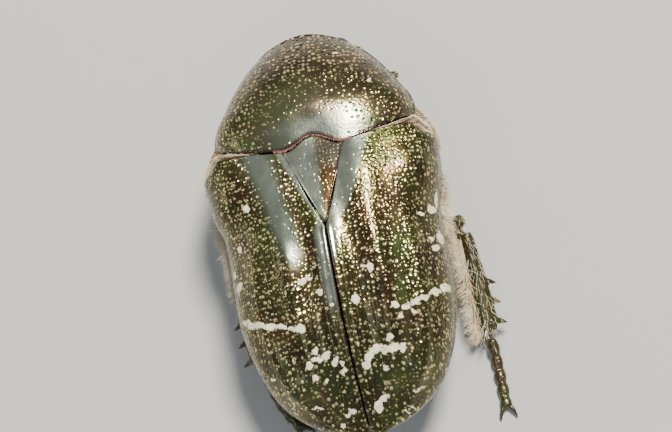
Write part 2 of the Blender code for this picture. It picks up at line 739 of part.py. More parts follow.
# Legs: for each one the joints in millimetres, the outline of each part and what grows on the shin
LEGS = {
    "fore_right": {
        "hip": (-1.35, -5.50, 1.25), "knee": (-3.10, -5.62, 2.10), "ankle": (-2.75, -6.75, 0.62), "kind": "fore",
        "foot": ((-2.40, -7.50, 0.235), (-1.55, -8.00, 0.235)),
    },
    "fore_left": {
        "hip": (1.35, -5.50, 1.25), "knee": (3.40, -5.60, 2.10), "ankle": (3.20, -6.80, 0.62), "kind": "fore",
        "foot": ((2.95, -7.60, 0.235), (2.15, -8.20, 0.235)),
    },
    "middle_right": {
        "hip": (-1.72, -1.42, 1.00), "knee": (-3.75, -2.15, 1.85), "ankle": (-3.88, 0.40, 0.62), "kind": "middle",
        "foot": ((-3.85, 2.10, 0.235), (-3.62, 3.45, 0.235)),
    },
    "middle_left": {
        "hip": (1.72, -1.42, 1.00), "knee": (3.95, -2.15, 1.85), "ankle": (4.30, 0.35, 0.62), "kind": "middle",
        "foot": ((4.45, 2.05, 0.235), (4.35, 3.40, 0.235)),
    },
    "hind_right": {
        "hip": (-1.80, 1.75, 0.92), "knee": (-5.36, 0.90, 2.62), "ankle": (-5.54, 5.60, 0.85), "kind": "hind",
        "foot": ((-5.60, 7.35, 0.235), (-5.64, 9.00, 0.235)),
    },
    "hind_left": {
        "hip": (1.80, 1.75, 0.92), "knee": (4.98, 0.80, 2.55), "ankle": (4.55, 5.20, 0.80), "kind": "hind",
        "foot": ((4.15, 6.85, 0.235), (3.35, 8.25, 0.235)),
    },
}
LEG_SHAPES = {
    "fore": {
        "femur": ((0.0, 0.25, 0.25), (0.10, 0.42, 0.38), (0.5, 0.52, 0.42), (0.85, 0.38, 0.34), (1.0, 0.22, 0.22)),
        "tibia": ((0.0, 0.20, 0.20), (0.12, 0.28, 0.27), (0.55, 0.38, 0.27), (0.9, 0.44, 0.27), (1.0, 0.26, 0.20)),
        "teeth": (0.48, 0.72, 0.94), "toothLength": 0.42, "spurs": 1,
    },
    "middle": {
        "femur": ((0.0, 0.25, 0.25), (0.10, 0.42, 0.36), (0.5, 0.56, 0.42), (0.85, 0.40, 0.34), (1.0, 0.22, 0.22)),
        "tibia": ((0.0, 0.20, 0.20), (0.10, 0.27, 0.27), (0.5, 0.30, 0.27), (0.9, 0.40, 0.34), (1.0, 0.30, 0.26)),
        "teeth": (0.55, 0.93), "toothLength": 0.34, "spurs": 2,
    },
    "hind": {
        "femur": ((0.0, 0.25, 0.25), (0.12, 0.55, 0.42), (0.5, 0.72, 0.50), (0.85, 0.45, 0.40), (1.0, 0.24, 0.24)),
        "tibia": ((0.0, 0.22, 0.22), (0.08, 0.30, 0.29), (0.5, 0.38, 0.30), (0.92, 0.50, 0.40), (1.0, 0.36, 0.30)),
        "teeth": (0.50, 0.70, 0.91), "toothLength": 0.34, "spurs": 2,
    },
}
KNEE_RADIUS = 0.32
SPUR_LEAN = 0.45


def makeFemur(name, leg, shape, parent):
    hip = Vector(leg["hip"])
    knee = Vector(leg["knee"])
    middle = (hip + knee) * 0.5 + Vector((0.0, 0.0, -0.10))
    rings = limbRings((hip, middle, knee), shape["femur"], Vector((0.0, 1.0, 0.0)), 8)
    return makeObject("femur_" + name, "leg", *loftMesh(rings), parent)


def makeTibia(name, leg, shape, parent):
    # Shin from beyond the knee to the ankle, with outer teeth and the spurs inside its end
    knee = Vector(leg["knee"])
    ankle = Vector(leg["ankle"])
    heading = (ankle - knee).normalized()
    start = knee + heading * (GAP + KNEE_RADIUS)
    away = Vector((math.copysign(1.0, leg["hip"][0]), 0.0, 0.0))
    outward = (away - heading * away.dot(heading)).normalized()
    middle = (start + ankle) * 0.5 + outward * 0.06
    path = (start, middle, ankle)
    rings = limbRings(path, shape["tibia"], outward, 8)
    tibia = makeObject("tibia_" + name, "leg", *loftMesh(rings), parent)
    pieces = []
    for share in shape["teeth"]:
        width = float(curve([(s, w) for s, w, _ in shape["tibia"]], share)[0])
        root = Vector(along(path, share)) + outward * (width - 0.16)
        tip = root + outward * (shape["toothLength"] + 0.16) + heading * 0.22
        pieces.append(piece("tooth", spikeRings(root, tip, 0.17, Vector((0, 0, 0)), 6)))
    for index in range(shape["spurs"]):
        lean = SPUR_LEAN * (2 * index - 1)
        root = ankle - outward * 0.10 - heading * 0.14 + heading.cross(outward) * (lean * 0.35)
        tip = root + heading * (0.78 - 0.12 * index) - outward * 0.30 + heading.cross(outward) * lean
        tip.z = max(tip.z, 0.12)
        pieces.append(piece("spur", spikeRings(root, tip, 0.13, Vector((0, 0, 0)), 6)))
    return fuse(tibia, pieces)


def makeTarsus(name, leg, parent):
    # Foot of five joints lying along the floor, flat below, with two claws
    ankle = Vector(leg["ankle"])
    heading = (ankle - Vector(leg["knee"])).normalized()
    path = [ankle + heading * (GAP + 0.08)] + [Vector(point) for point in leg["foot"]]
    sections = [(0.0, 0.17, 0.17)]
    for joint in range(5):
        start = joint / 5
        sections += [(start + 0.04, 0.21, 0.21), (start + 0.11, 0.27, 0.27), (start + 0.16, 0.27, 0.27)]
    sections.append((1.0, 0.19, 0.19))
    rings = limbRings(path, sections, Vector((0.0, 0.0, 1.0)), 8)
    for ring in rings:
        for point in ring:
            point.z = max(point.z, 0.0)
    foot = makeObject("tarsus_" + name, "leg", *loftMesh(rings), parent)
    heading = (path[2] - path[1]).normalized()
    across = heading.cross(Vector((0.0, 0.0, 1.0))).normalized()
    claws = []
    for side in (-1, 1):
        root = path[2] - heading * 0.12 + across * side * 0.07
        tip = root + heading * 0.62 + across * side * 0.30 + Vector((0.0, 0.0, -0.14))
        bend = Vector((0.0, 0.0, 0.14)) + across * side * 0.08
        claws.append(piece("claw", spikeRings(root, tip, 0.13, bend, 6)))
    return fuse(foot, claws)


def main():
    for thing in list(bpy.data.objects):
        bpy.data.objects.remove(thing)
    chafer = bpy.data.objects.new("chafer", None)
    bpy.context.scene.collection.objects.link(chafer)
    makeElytron(-1, "elytron_right", chafer)
    makeElytron(1, "elytron_left", chafer)
    makeScutellum(chafer)
    makePronotum(chafer)
    makeMesepimeron(-1, "mesepimeron_right", chafer)
    makeMesepimeron(1, "mesepimeron_left", chafer)
    makeThorax(chafer)
    makeAbdomen(chafer)
    makePygidium(chafer)
    makeProthorax(chafer)
    cutSockets(makeHead(chafer))
    makeEye(-1, "eye_right", chafer)
    makeEye(1, "eye_left", chafer)
    makeMouthparts(chafer)
    for side in (-1, 1):
        makeAntenna(side, chafer)
    for name, leg in LEGS.items():
        shape = LEG_SHAPES[leg["kind"]]
        makeFemur(name, leg, shape, chafer)
        makeTibia(name, leg, shape, chafer)
        makeTarsus(name, leg, chafer)
    standOnOrigin(chafer)


def standOnOrigin(root):
    # Move the whole beetle so that the origin is under the middle of its box, at floor level
    bpy.context.view_layer.update()
    corners = [thing.matrix_world @ vertex.co for thing in root.children for vertex in thing.data.vertices]
    low = Vector([min(corner[axis] for corner in corners) for axis in range(3)])
    high = Vector([max(corner[axis] for corner in corners) for axis in range(3)])
    root.location = (-(low.x + high.x) / 2, -(low.y + high.y) / 2, -low.z)
    bpy.context.view_layer.update()


main()
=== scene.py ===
import math

import bmesh
import bpy
import numpy as np
from mathutils import Matrix, Vector


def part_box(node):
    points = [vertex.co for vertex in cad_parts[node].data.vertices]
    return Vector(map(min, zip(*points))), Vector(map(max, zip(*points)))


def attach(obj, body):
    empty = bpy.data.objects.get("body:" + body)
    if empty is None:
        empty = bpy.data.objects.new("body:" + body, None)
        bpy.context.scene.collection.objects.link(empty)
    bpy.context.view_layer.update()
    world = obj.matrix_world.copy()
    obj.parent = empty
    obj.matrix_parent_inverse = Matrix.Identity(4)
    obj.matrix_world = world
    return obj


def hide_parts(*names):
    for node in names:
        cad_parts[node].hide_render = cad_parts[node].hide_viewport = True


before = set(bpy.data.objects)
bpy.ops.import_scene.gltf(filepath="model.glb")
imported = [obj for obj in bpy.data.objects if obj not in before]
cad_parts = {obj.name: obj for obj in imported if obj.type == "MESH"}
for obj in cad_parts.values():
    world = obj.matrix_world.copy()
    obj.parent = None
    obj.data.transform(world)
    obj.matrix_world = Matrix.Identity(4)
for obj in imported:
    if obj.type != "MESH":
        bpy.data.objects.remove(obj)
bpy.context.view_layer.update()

# Sizes are millimetres of the real beetle, head toward -Y and its right side toward -X, as in the solids
mm = 0.001
scutellumTipY = 1.10
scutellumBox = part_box("scutellum")
# Where the beetle's own midline and length zero lie in the frame
midlineX = (scutellumBox[0].x + scutellumBox[1].x) / 2 / mm
lengthZero = scutellumBox[1].y / mm - (scutellumTipY - 0.12)
shift = np.array([midlineX, lengthZero, 0.0])

# Outer margins as (half width, length position, height)
wingMargin = (
    (4.68, -2.32, 5.85), (5.09, -1.75, 5.35), (4.98, -0.60, 4.88), (4.68, 0.70, 4.62), (4.68, 2.40, 4.42),
    (4.68, 4.00, 4.33), (4.47, 5.40, 4.28), (4.05, 6.80, 4.20), (3.35, 8.00, 4.12), (2.45, 8.85, 4.02),
    (1.45, 9.37, 3.94), (0.60, 9.60, 3.90),
)
wingBaseY = -2.10
wingApexY = 9.60
# Height of the wing covers' inner edge as (length position, height)
seamHeight = (
    (-2.6, 7.45), (-0.6, 7.78), (2.2, 7.86), (4.6, 7.48), (6.6, 6.62), (8.2, 5.45), (9.1, 4.60), (9.6, 4.08),
)
# Powers that shape a wing cover's cross section
sidePower = 0.85
topPower = 0.72
scutellumHalfWidth = 1.48
pronotumMargin = (
    (4.18, -3.24, 5.36), (4.37, -3.62, 5.22), (4.26, -4.25, 5.05), (3.85, -5.00, 4.85), (3.38, -5.80, 4.70),
    (2.86, -6.52, 4.62), (2.12, -7.28, 4.62),
)
# Ridge line of the pronotum as (length position, height)
pronotumMidline = ((-2.86, 7.55), (-4.00, 7.62), (-5.20, 7.25), (-6.30, 6.62), (-7.30, 5.76), (-8.05, 4.95))
# How far the pronotum's hind edge bulges on each side of the scutellum, and at which share of its half width
hindLobe = 0.52
hindLobeAt = 0.32
# Visible seams are finer than the gaps between the solids
seam = {"wings": 0.022, "scutellum": 0.085, "pronotum": 0.10}


def curve(table, places):
    # Smooth values along a table whose first number rises, for an array of places
    rows = np.array(table, dtype=float)
    knots = rows[:, 0]
    values = rows[:, 1:]
    steps = np.diff(knots)
    slopes = np.diff(values, axis=0) / steps[:, None]
    tangents = np.zeros_like(values)
    tangents[0] = slopes[0]
    tangents[-1] = slopes[-1]
    product = slopes[:-1] * slopes[1:]
    weight = slopes[:-1] + slopes[1:]
    safe = np.where(np.abs(weight) < 1e-9, 1.0, weight)
    tangents[1:-1] = np.where(product > 0.0, 2.0 * product / safe, 0.0)
    spots = np.clip(np.asarray(places, dtype=float), knots[0], knots[-1])
    index = np.clip(np.searchsorted(knots, spots, side="right") - 1, 0, len(steps) - 1)
    step = steps[index][..., None]
    t = (spots - knots[index])[..., None] / step
    start = (2 * t ** 3 - 3 * t ** 2 + 1) * values[index] + (t ** 3 - 2 * t ** 2 + t) * step * tangents[index]
    end = (3 * t ** 2 - 2 * t ** 3) * values[index + 1] + (t ** 3 - t ** 2) * step * tangents[index + 1]
    return start + end


def alongLine(points, fractions):
    rows = np.array(points, dtype=float)
    lengths = np.concatenate(([0.0], np.cumsum(np.linalg.norm(np.diff(rows, axis=0), axis=1))))
    return curve(np.column_stack((lengths / lengths[-1], rows)), fractions)


def bump(distance, width):
    return np.exp(-(distance / width) ** 2)


def ramp(value, low, high):
    # Smooth step from 0 at low to 1 at high
    t = np.clip((value - low) / (high - low), 0.0, 1.0)
    return t * t * (3.0 - 2.0 * t)


def fractions(rows, columns, start=0.0):
    # Even fractions down a grid from 0 to 1 and across it from start to 1
    down = np.linspace(0.0, 1.0, rows + 1)[:, None] * np.ones((1, columns + 1))
    across = np.linspace(start, 1.0, columns + 1)[None, :] * np.ones((rows + 1, 1))
    return down, across


def arcLength(grid):
    # Length along the surface across each row of a grid of points
    return np.cumsum(np.linalg.norm(np.diff(grid, axis=1, prepend=grid[:, :1]), axis=2), axis=1)


def fade(value, low, high):
    # Smooth step from 1 at low to 0 at high
    return 1.0 - ramp(value, low, high)


def chance(i, j, seed):
    # Repeatable random numbers from 0 to 1 for the cells of a lattice
    mixed = np.sin(i * 127.1 + j * 311.7 + seed * 74.7) * 43758.5453
    return mixed - np.floor(mixed)


def softNoise(x, y, size, seed):
    # Smooth random values from 0 to 1 with spots of about the given size
    a = x / size
    b = y / size
    i = np.floor(a)
    j = np.floor(b)
    s = ramp(a - i, 0.0, 1.0)
    t = ramp(b - j, 0.0, 1.0)
    low = chance(i, j, seed) * (1 - s) + chance(i + 1, j, seed) * s
    high = chance(i, j + 1, seed) * (1 - s) + chance(i + 1, j + 1, seed) * s
    return low * (1 - t) + high * t


def waver(x, y, size, seed):
    # Smooth random values from -0.5 to 0.5
    return softNoise(x, y, size, seed) - 0.5


def pitPattern(a, b, spacing, radius, keep, seed, crescent):
    # Punctures on a jittered lattice: depth from 0 to 1, and a random strength for each one's painted glint.
    # Keep is the share of them that is there, crescent says how far each one opens at its hind side
    depth = np.zeros_like(a)
    shine = np.zeros_like(a)
    cellA = np.floor(a / spacing)
    cellB = np.floor(b / spacing)
    for stepA in (-1, 0, 1):
        for stepB in (-1, 0, 1):
            i = cellA + stepA
            j = cellB + stepB
            centreA = (i + 0.5 + 0.62 * (chance(i, j, seed) - 0.5)) * spacing
            centreB = (j + 0.5 + 0.62 * (chance(i, j, seed + 1) - 0.5)) * spacing
            size = radius * (0.72 + 0.5 * chance(i, j, seed + 2))
            there = chance(i, j, seed + 3) < keep
            distance = np.hypot(a - centreA, b - centreB) / size
            hollow = ramp(-distance, -1.0, -0.45)
            opening = ramp(-np.hypot(a - centreA, b - centreB - 0.55 * size) / size, -0.85, -0.35)
            hollow = hollow * (1.0 - crescent * opening) * there
            shine = np.where(hollow > depth, chance(i, j, seed + 4), shine)
            depth = np.maximum(depth, hollow)
    return depth, shine


def normalsOf(grid):
    # Unit normals of a grid of points, on the side that looks up
    across = np.gradient(grid, axis=1)
    down = np.gradient(grid, axis=0)
    normal = np.cross(across, down)
    length = np.linalg.norm(normal, axis=2, keepdims=True)
    normal = normal / np.maximum(length, 1e-9)
    flip = np.sign(np.mean(normal[..., 2]))
    return normal * flip


def gridMesh(name, grid, masks, skirt, material, node):
    # Shell from a grid of points in millimetres, with its border turned in and under by a skirt
    rows, columns = grid.shape[:2]
    normal = normalsOf(grid)
    points = grid.reshape(-1, 3)
    index = np.arange(rows * columns).reshape(rows, columns)
    quads = np.stack((index[:-1, :-1], index[:-1, 1:], index[1:, 1:], index[1:, :-1]), axis=2).reshape(-1, 4)
    border = np.concatenate((index[0, :], index[1:, -1], index[-1, -2::-1], index[-2:0:-1, 0]))
    centre = points.mean(axis=0)
    edge = points[border]
    inward = centre - edge
    inward /= np.linalg.norm(inward, axis=1, keepdims=True)
    under = edge - normal.reshape(-1, 3)[border] * skirt
    tucked = under + inward * skirt * 1.2 - normal.reshape(-1, 3)[border] * skirt * 0.3
    count = len(border)
    first = len(points)
    points = np.concatenate((points, under, tucked))
    ring = np.arange(count)
    turn = np.roll(ring, -1)
    quads = np.concatenate((
        quads,
        np.stack((border, first + ring, first + turn, border[turn]), axis=1),
        np.stack((first + ring, first + count + ring, first + count + turn, first + turn), axis=1),
    ))
    filled = {key: np.concatenate((mask.reshape(-1), np.zeros(count * 2))) for key, mask in masks.items()}
    return makePiece(name, points, quads, filled, material, (node,))


def addObject(name, data):
    thing = bpy.data.objects.new(name, data)
    bpy.context.scene.collection.objects.link(thing)
    return thing


def makePiece(name, points, faces, masks, material, nodes):
    # Mesh object from points in millimetres, with its masks as point attributes, in the place of CAD nodes
    mesh = bpy.data.meshes.new(name)
    mesh.vertices.add(len(points))
    mesh.vertices.foreach_set("co", ((points + shift) * mm).astype(np.float32).reshape(-1))
    corners = faces.shape[1]
    mesh.loops.add(len(faces) * corners)
    mesh.loops.foreach_set("vertex_index", faces.astype(np.int32).reshape(-1))
    mesh.polygons.add(len(faces))
    mesh.polygons.foreach_set("loop_start", np.arange(0, len(faces) * corners, corners, dtype=np.int32))
    mesh.update(calc_edges=True)
    mesh.validate()
    work = bmesh.new()
    work.from_mesh(mesh)
    bmesh.ops.recalc_face_normals(work, faces=work.faces)
    work.to_mesh(mesh)
    work.free()
    for key, values in masks.items():
        mesh.attributes.new(key, "FLOAT", "POINT").data.foreach_set("value", values.astype(np.float32))
    mesh.shade_smooth()
    mesh.materials.append(material)
    piece = addObject(name, mesh)
    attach(piece, "root")
    if nodes:
        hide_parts(*nodes)
    return piece


# Camera, floor and light

view = {
    "azimuth": 202.8, "elevation": 74.9, "roll": -33.42, "distance": 115.0, "pixelsPerMm": 23.385,
    "target": (-0.204, 0.240, 5.0), "pictureWidth": 672.0, "sensor": 36.0,
}


def addCamera():
    azimuth = math.radians(view["azimuth"])
    elevation = math.radians(view["elevation"])
    roll = math.radians(view["roll"])
    flat = math.cos(elevation)
    toward = Vector((math.sin(azimuth) * flat, -math.cos(azimuth) * flat, math.sin(elevation)))
    right = (-toward).cross(Vector((0, 0, 1))).normalized()
    up = right.cross(-toward)
    across = right * math.cos(roll) + up * math.sin(roll)
    above = up * math.cos(roll) - right * math.sin(roll)
    data = bpy.data.cameras.new("camera")
    data.sensor_width = view["sensor"]
    data.lens = view["sensor"] * view["pixelsPerMm"] * view["distance"] / view["pictureWidth"]
    data.clip_start = 0.005
    data.clip_end = 20.0
    camera = addObject("camera", data)
    target = (Vector(view["target"]) + Vector(shift)) * mm
    turn = Matrix((across, above, toward)).transposed().to_4x4()
    camera.matrix_world = Matrix.Translation(target + toward * view["distance"] * mm) @ turn
    bpy.context.scene.camera = camera


def areaLight(name, place, size, power, colour):
    # Round lamp that looks at the beetle's middle
    data = bpy.data.lights.new(name, "AREA")
    data.shape = "DISK"
    data.size = size * mm
    data.energy = power
    data.color = colour
    lamp = addObject(name, data)
    lamp.location = (Vector(place) + Vector(shift)) * mm
    lamp.rotation_euler = (Vector((0.0, 0.0, 4.0)) - Vector(place)).to_track_quat("-Z", "Y").to_euler()


light = {
    "key": {"place": (-76.0, -72.0, 252.0), "size": 62.0, "power": 1.95, "colour": (1.0, 0.96, 0.88)},
    "sky": {"place": (35.0, 120.0, 190.0), "size": 150.0, "power": 0.12, "colour": (0.80, 0.90, 1.0)},
    "side": {"place": (190.0, -30.0, 70.0), "size": 90.0, "power": 0.06, "colour": (1.0, 0.97, 0.92)},
    "world": 0.37, "worldColour": (0.86, 0.93, 1.0), "floor": (0.39, 0.386, 0.372),
}


def addStage():
    world = bpy.data.worlds.new("studio")
    world.use_nodes = True
    background = world.node_tree.nodes["Background"]
    background.inputs["Color"].default_value = (*light["worldColour"], 1.0)
    background.inputs["Strength"].default_value = light["world"]
    bpy.context.scene.world = world
    for name in ("key", "sky", "side"):
        areaLight(name, **light[name])
    mesh = bpy.data.meshes.new("floor")
    work = bmesh.new()
    bmesh.ops.create_grid(work, x_segments=1, y_segments=1, size=1.5)
    work.to_mesh(mesh)
    work.free()
    material, shader, _ = newMaterial("floor")
    setInputs(shader, Base_Color=(*light["floor"], 1.0), Roughness=0.9)
    mesh.materials.append(material)
    floor = addObject("floor", mesh)


# Materials

def newMaterial(name):
    material = bpy.data.materials.new(name)
    material.use_nodes = True
    tree = material.node_tree
    return material, tree.nodes["Principled BSDF"], tree


def addNode(tree, kind, **values):
    node = tree.nodes.new(kind)
    for key, value in values.items():
        setattr(node, key, value)
    return node


def setInputs(node, **values):
    for key, value in values.items():
        node.inputs[key.replace("_", " ")].default_value = value
    return node


def mixColour(tree, factor, first, second):
    node = addNode(tree, "ShaderNodeMix", data_type="RGBA")
    for socket, value in ((node.inputs[0], factor), (node.inputs[6], first), (node.inputs[7], second)):
        if isinstance(value, bpy.types.NodeSocket):
            tree.links.new(value, socket)
        else:
            socket.default_value = value if not isinstance(value, tuple) else (*value, 1.0)
    return node.outputs[2]


def calculate(tree, operation, first, second=0.0):
    node = addNode(tree, "ShaderNodeMath", operation=operation)
    node.use_clamp = True
    for socket, value in ((node.inputs[0], first), (node.inputs[1], second)):
        if isinstance(value, bpy.types.NodeSocket):
            tree.links.new(value, socket)
        else:
            socket.default_value = value
    return node.outputs[0]


def spanOf(tree, value, low, high):
    # Value between low and high as a number from 0 to 1
    node = addNode(tree, "ShaderNodeMapRange")
    setInputs(node, From_Min=low, From_Max=high)
    tree.links.new(value, node.inputs["Value"])
    return node.outputs["Result"]


def noiseMask(tree, scale, low, high, detail=3.0):
    # Soft patches from 0 to 1 in object space
    coordinates = addNode(tree, "ShaderNodeTexCoord")
    noise = addNode(tree, "ShaderNodeTexNoise")
    setInputs(noise, Scale=scale, Detail=detail, Roughness=0.55)
    tree.links.new(coordinates.outputs["Object"], noise.inputs["Vector"])
    return spanOf(tree, noise.outputs["Fac"], low, high)


def cellMask(tree, scale, randomness, low, high):
    # Distance from the middles of small cells in object space, from 0 to 1
    coordinates = addNode(tree, "ShaderNodeTexCoord")
    cells = addNode(tree, "ShaderNodeTexVoronoi")
    setInputs(cells, Scale=scale, Randomness=randomness)
    tree.links.new(coordinates.outputs["Object"], cells.inputs["Vector"])
    return spanOf(tree, cells.outputs["Distance"], low, high)


def mask(tree, name):
    return addNode(tree, "ShaderNodeAttribute", attribute_name=name).outputs["Fac"]


chitin = {
    "olive": (0.165, 0.138, 0.032), "green": (0.085, 0.130, 0.020), "brown": (0.130, 0.062, 0.020),
    "glow": (0.20, 0.19, 0.06), "patch": 330.0, "fine": 9000.0,
}


def chitinGroup():
    # Olive bronze with green and brown patches, and the height of its finest grain
    tree = bpy.data.node_groups.new("chitin", "ShaderNodeTree")
    tree.interface.new_socket(name="Colour", in_out="OUTPUT", socket_type="NodeSocketColor")
    tree.interface.new_socket(name="Height", in_out="OUTPUT", socket_type="NodeSocketFloat")
    output = addNode(tree, "NodeGroupOutput")
    green = noiseMask(tree, chitin["patch"], 0.36, 0.54)
    brown = noiseMask(tree, chitin["patch"] * 1.7, 0.48, 0.70)
    colour = mixColour(tree, green, chitin["olive"], chitin["green"])
    colour = mixColour(tree, brown, colour, chitin["brown"])
    tree.links.new(colour, output.inputs["Colour"])
    tree.links.new(noiseMask(tree, chitin["fine"], 0.3, 0.7, 1.0), output.inputs["Height"])
    return tree


def addBump(tree, shader, height, strength, distance):
    node = addNode(tree, "ShaderNodeBump")
    setInputs(node, Strength=strength, Distance=distance)
    tree.links.new(height, node.inputs["Height"])
    tree.links.new(node.outputs["Normal"], shader.inputs["Normal"])


# Shell colours for the masks: the grey one for the smooth bands is a painted sky reflection, the gold one a
# painted glint in the punctures
shellLook = {
    "smooth_and_painted_reflection": (0.235, 0.265, 0.215), "glint": (1.0, 0.80, 0.38), "dark": (0.026, 0.017, 0.006),
    "brown": (0.105, 0.040, 0.018), "cream": (0.80, 0.72, 0.52), "edge": (0.045, 0.018, 0.022),
    "roughness": 0.15, "coat": 0.40,
}


def shellMaterial(name, group):
    # Metallic shell whose masks give its smooth bands with their painted grey sky reflection, painted glints
    # in the punctures, cream felt marks and dark seams
    material, shader, tree = newMaterial(name)
    base = addNode(tree, "ShaderNodeGroup", node_tree=group)
    facing = addNode(tree, "ShaderNodeLayerWeight")
    facing.inputs["Blend"].default_value = 0.35
    colour = mixColour(tree, facing.outputs["Facing"], base.outputs["Colour"], chitin["glow"])
    for tone in ("brown", "smooth_and_painted_reflection", "dark", "glint", "edge"):
        colour = mixColour(tree, mask(tree, tone), colour, shellLook[tone])
    cream = mask(tree, "cream")
    feltTone = noiseMask(tree, 2600.0, 0.35, 0.75, 2.0)
    felt = mixColour(tree, feltTone, shellLook["cream"], tuple(0.72 * value for value in shellLook["cream"]))
    colour = mixColour(tree, cream, colour, felt)
    tree.links.new(colour, shader.inputs["Base Color"])
    tree.links.new(calculate(tree, "SUBTRACT", 0.88, cream), shader.inputs["Metallic"])
    rough = noiseMask(tree, 1400.0, 0.0, 3.2)
    rough = calculate(tree, "ADD", rough, shellLook["roughness"] - 0.06)
    rough = calculate(tree, "ADD", rough, calculate(tree, "MULTIPLY", cream, 0.65))
    tree.links.new(rough, shader.inputs["Roughness"])
    setInputs(shader, Coat_Weight=shellLook["coat"], Coat_Roughness=0.06)
    addBump(tree, shader, base.outputs["Height"], 0.22, 0.00001)
    return material


def bodyMaterial(name, group, tint, metallic, roughness, pitScale):
    # Dark coppery body and leg surface with fine punctures
    material, shader, tree = newMaterial(name)
    base = addNode(tree, "ShaderNodeGroup", node_tree=group)
    colour = mixColour(tree, 0.72, base.outputs["Colour"], tint)
    pits = cellMask(tree, pitScale, 0.9, 0.12, 0.42)
    hollows = calculate(tree, "SUBTRACT", 0.55, pits)
    tree.links.new(mixColour(tree, hollows, colour, (0.24, 0.17, 0.08)), shader.inputs["Base Color"])
    setInputs(shader, Metallic=metallic, Roughness=roughness, Coat_Weight=0.3, Coat_Roughness=0.12)
    addBump(tree, shader, pits, 0.55, 0.00004)
    return material


def feltMaterial(name):
    # Cream felt of fine scales over dark bronze, worn off where the bare mask says
    material, shader, tree = newMaterial(name)
    worn = noiseMask(tree, 1500.0, 0.55, 0.66)
    worn = calculate(tree, "ADD", calculate(tree, "MULTIPLY", worn, 0.5), mask(tree, "bare"))
    colour = mixColour(tree, worn, (0.60, 0.53, 0.38), (0.100, 0.060, 0.026))
    tree.links.new(colour, shader.inputs["Base Color"])
    tree.links.new(calculate(tree, "MULTIPLY", mask(tree, "bare"), 0.7), shader.inputs["Metallic"])
    rough = calculate(tree, "SUBTRACT", 0.75, calculate(tree, "MULTIPLY", worn, 0.4))
    tree.links.new(rough, shader.inputs["Roughness"])
    addBump(tree, shader, noiseMask(tree, 6000.0, 0.3, 0.7), 0.5, 0.00003)
    return material


def hairMaterial(name, tip, root):
    # Hair of two tones in patches
    material, shader, tree = newMaterial(name)
    tone = noiseMask(tree, 900.0, 0.35, 0.65)
    tree.links.new(mixColour(tree, tone, tip, root), shader.inputs["Base Color"])
    setInputs(shader, Roughness=0.42, Sheen_Weight=0.2)
    return material


def eyeMaterial(name):
    # Near-black gloss with fine facets
    material, shader, tree = newMaterial(name)
    facets = cellMask(tree, 16000.0, 0.15, 0.0, 0.6)
    colour = mixColour(tree, facets, (0.014, 0.007, 0.004), (0.004, 0.003, 0.002))
    tree.links.new(colour, shader.inputs["Base Color"])
    setInputs(shader, Roughness=0.30, Coat_Weight=0.10, Specular_IOR_Level=0.30)
    addBump(tree, shader, facets, 0.35, 0.00001)
    return material


# Wing covers

def scutellumHalf(y):
    # Half width of the scutellum's triangle at a length position
    start = wingBaseY - 0.4
    return scutellumHalfWidth * (scutellumTipY - y) / (scutellumTipY - start)


def hindEdge(x):
    # Length position of the pronotum's hind edge
    share = np.minimum(np.abs(x) / pronotumMargin[0][0], 1.0)
    middle = pronotumMidline[0][0]
    return middle + (pronotumMargin[0][1] - middle) * share ** 2.6 + hindLobe * lobeShape(share)


def lobeShape(share):
    # Share of the hind edge's bulge, from 0 at the midline over 1 at its crest to 0 at the corner
    near = np.sin(math.pi / 2 * np.minimum(share / hindLobeAt, 1.0)) ** 2
    past = np.clip((share - hindLobeAt) / (1.0 - hindLobeAt), 0.0, 1.0)
    return near * (1.0 - past ** 1.3)


def wingSurface(u, v):
    # Smooth outer surface of a wing cover from two arrays of fractions, and its half width there
    margin = alongLine(wingMargin, u)
    base = wingBaseY + (wingApexY - wingBaseY) * u
    seamY = base + (margin[..., 1] - base) * np.minimum(1.0, u * 4.0)
    inner = np.maximum(seam["wings"], scutellumHalf(seamY) + seam["scutellum"])
    angle = v * math.pi / 2
    x = inner + (margin[..., 0] - inner) * np.sin(angle) ** sidePower
    y = seamY + (margin[..., 1] - seamY) * v ** 3
    half, corner, _ = wingMargin[0]
    recess = corner - hindEdge(half) - seam["pronotum"]
    front = hindEdge(x) + seam["pronotum"] + recess * np.minimum(x / half, 1.0) ** 4
    y = y + (front - y) * np.maximum(0.0, 1.0 - 5.0 * u) ** 2
    top = curve(seamHeight, y)[..., 0]
    lift = np.maximum(np.cos(angle), 0.0) ** topPower
    z = margin[..., 2] + (top - margin[..., 2]) * lift
    return np.stack((x, y, z), axis=-1), margin[..., 0]


wing = {
    "rows": 560, "columns": 300, "pitSpacing": 0.235, "pitRadius": 0.074, "pitDepth": 0.024,
    "fineSpacing": 0.160, "fineRadius": 0.048, "fineDepth": 0.014, "markHeight": 0.012, "skirt": 0.28,
}
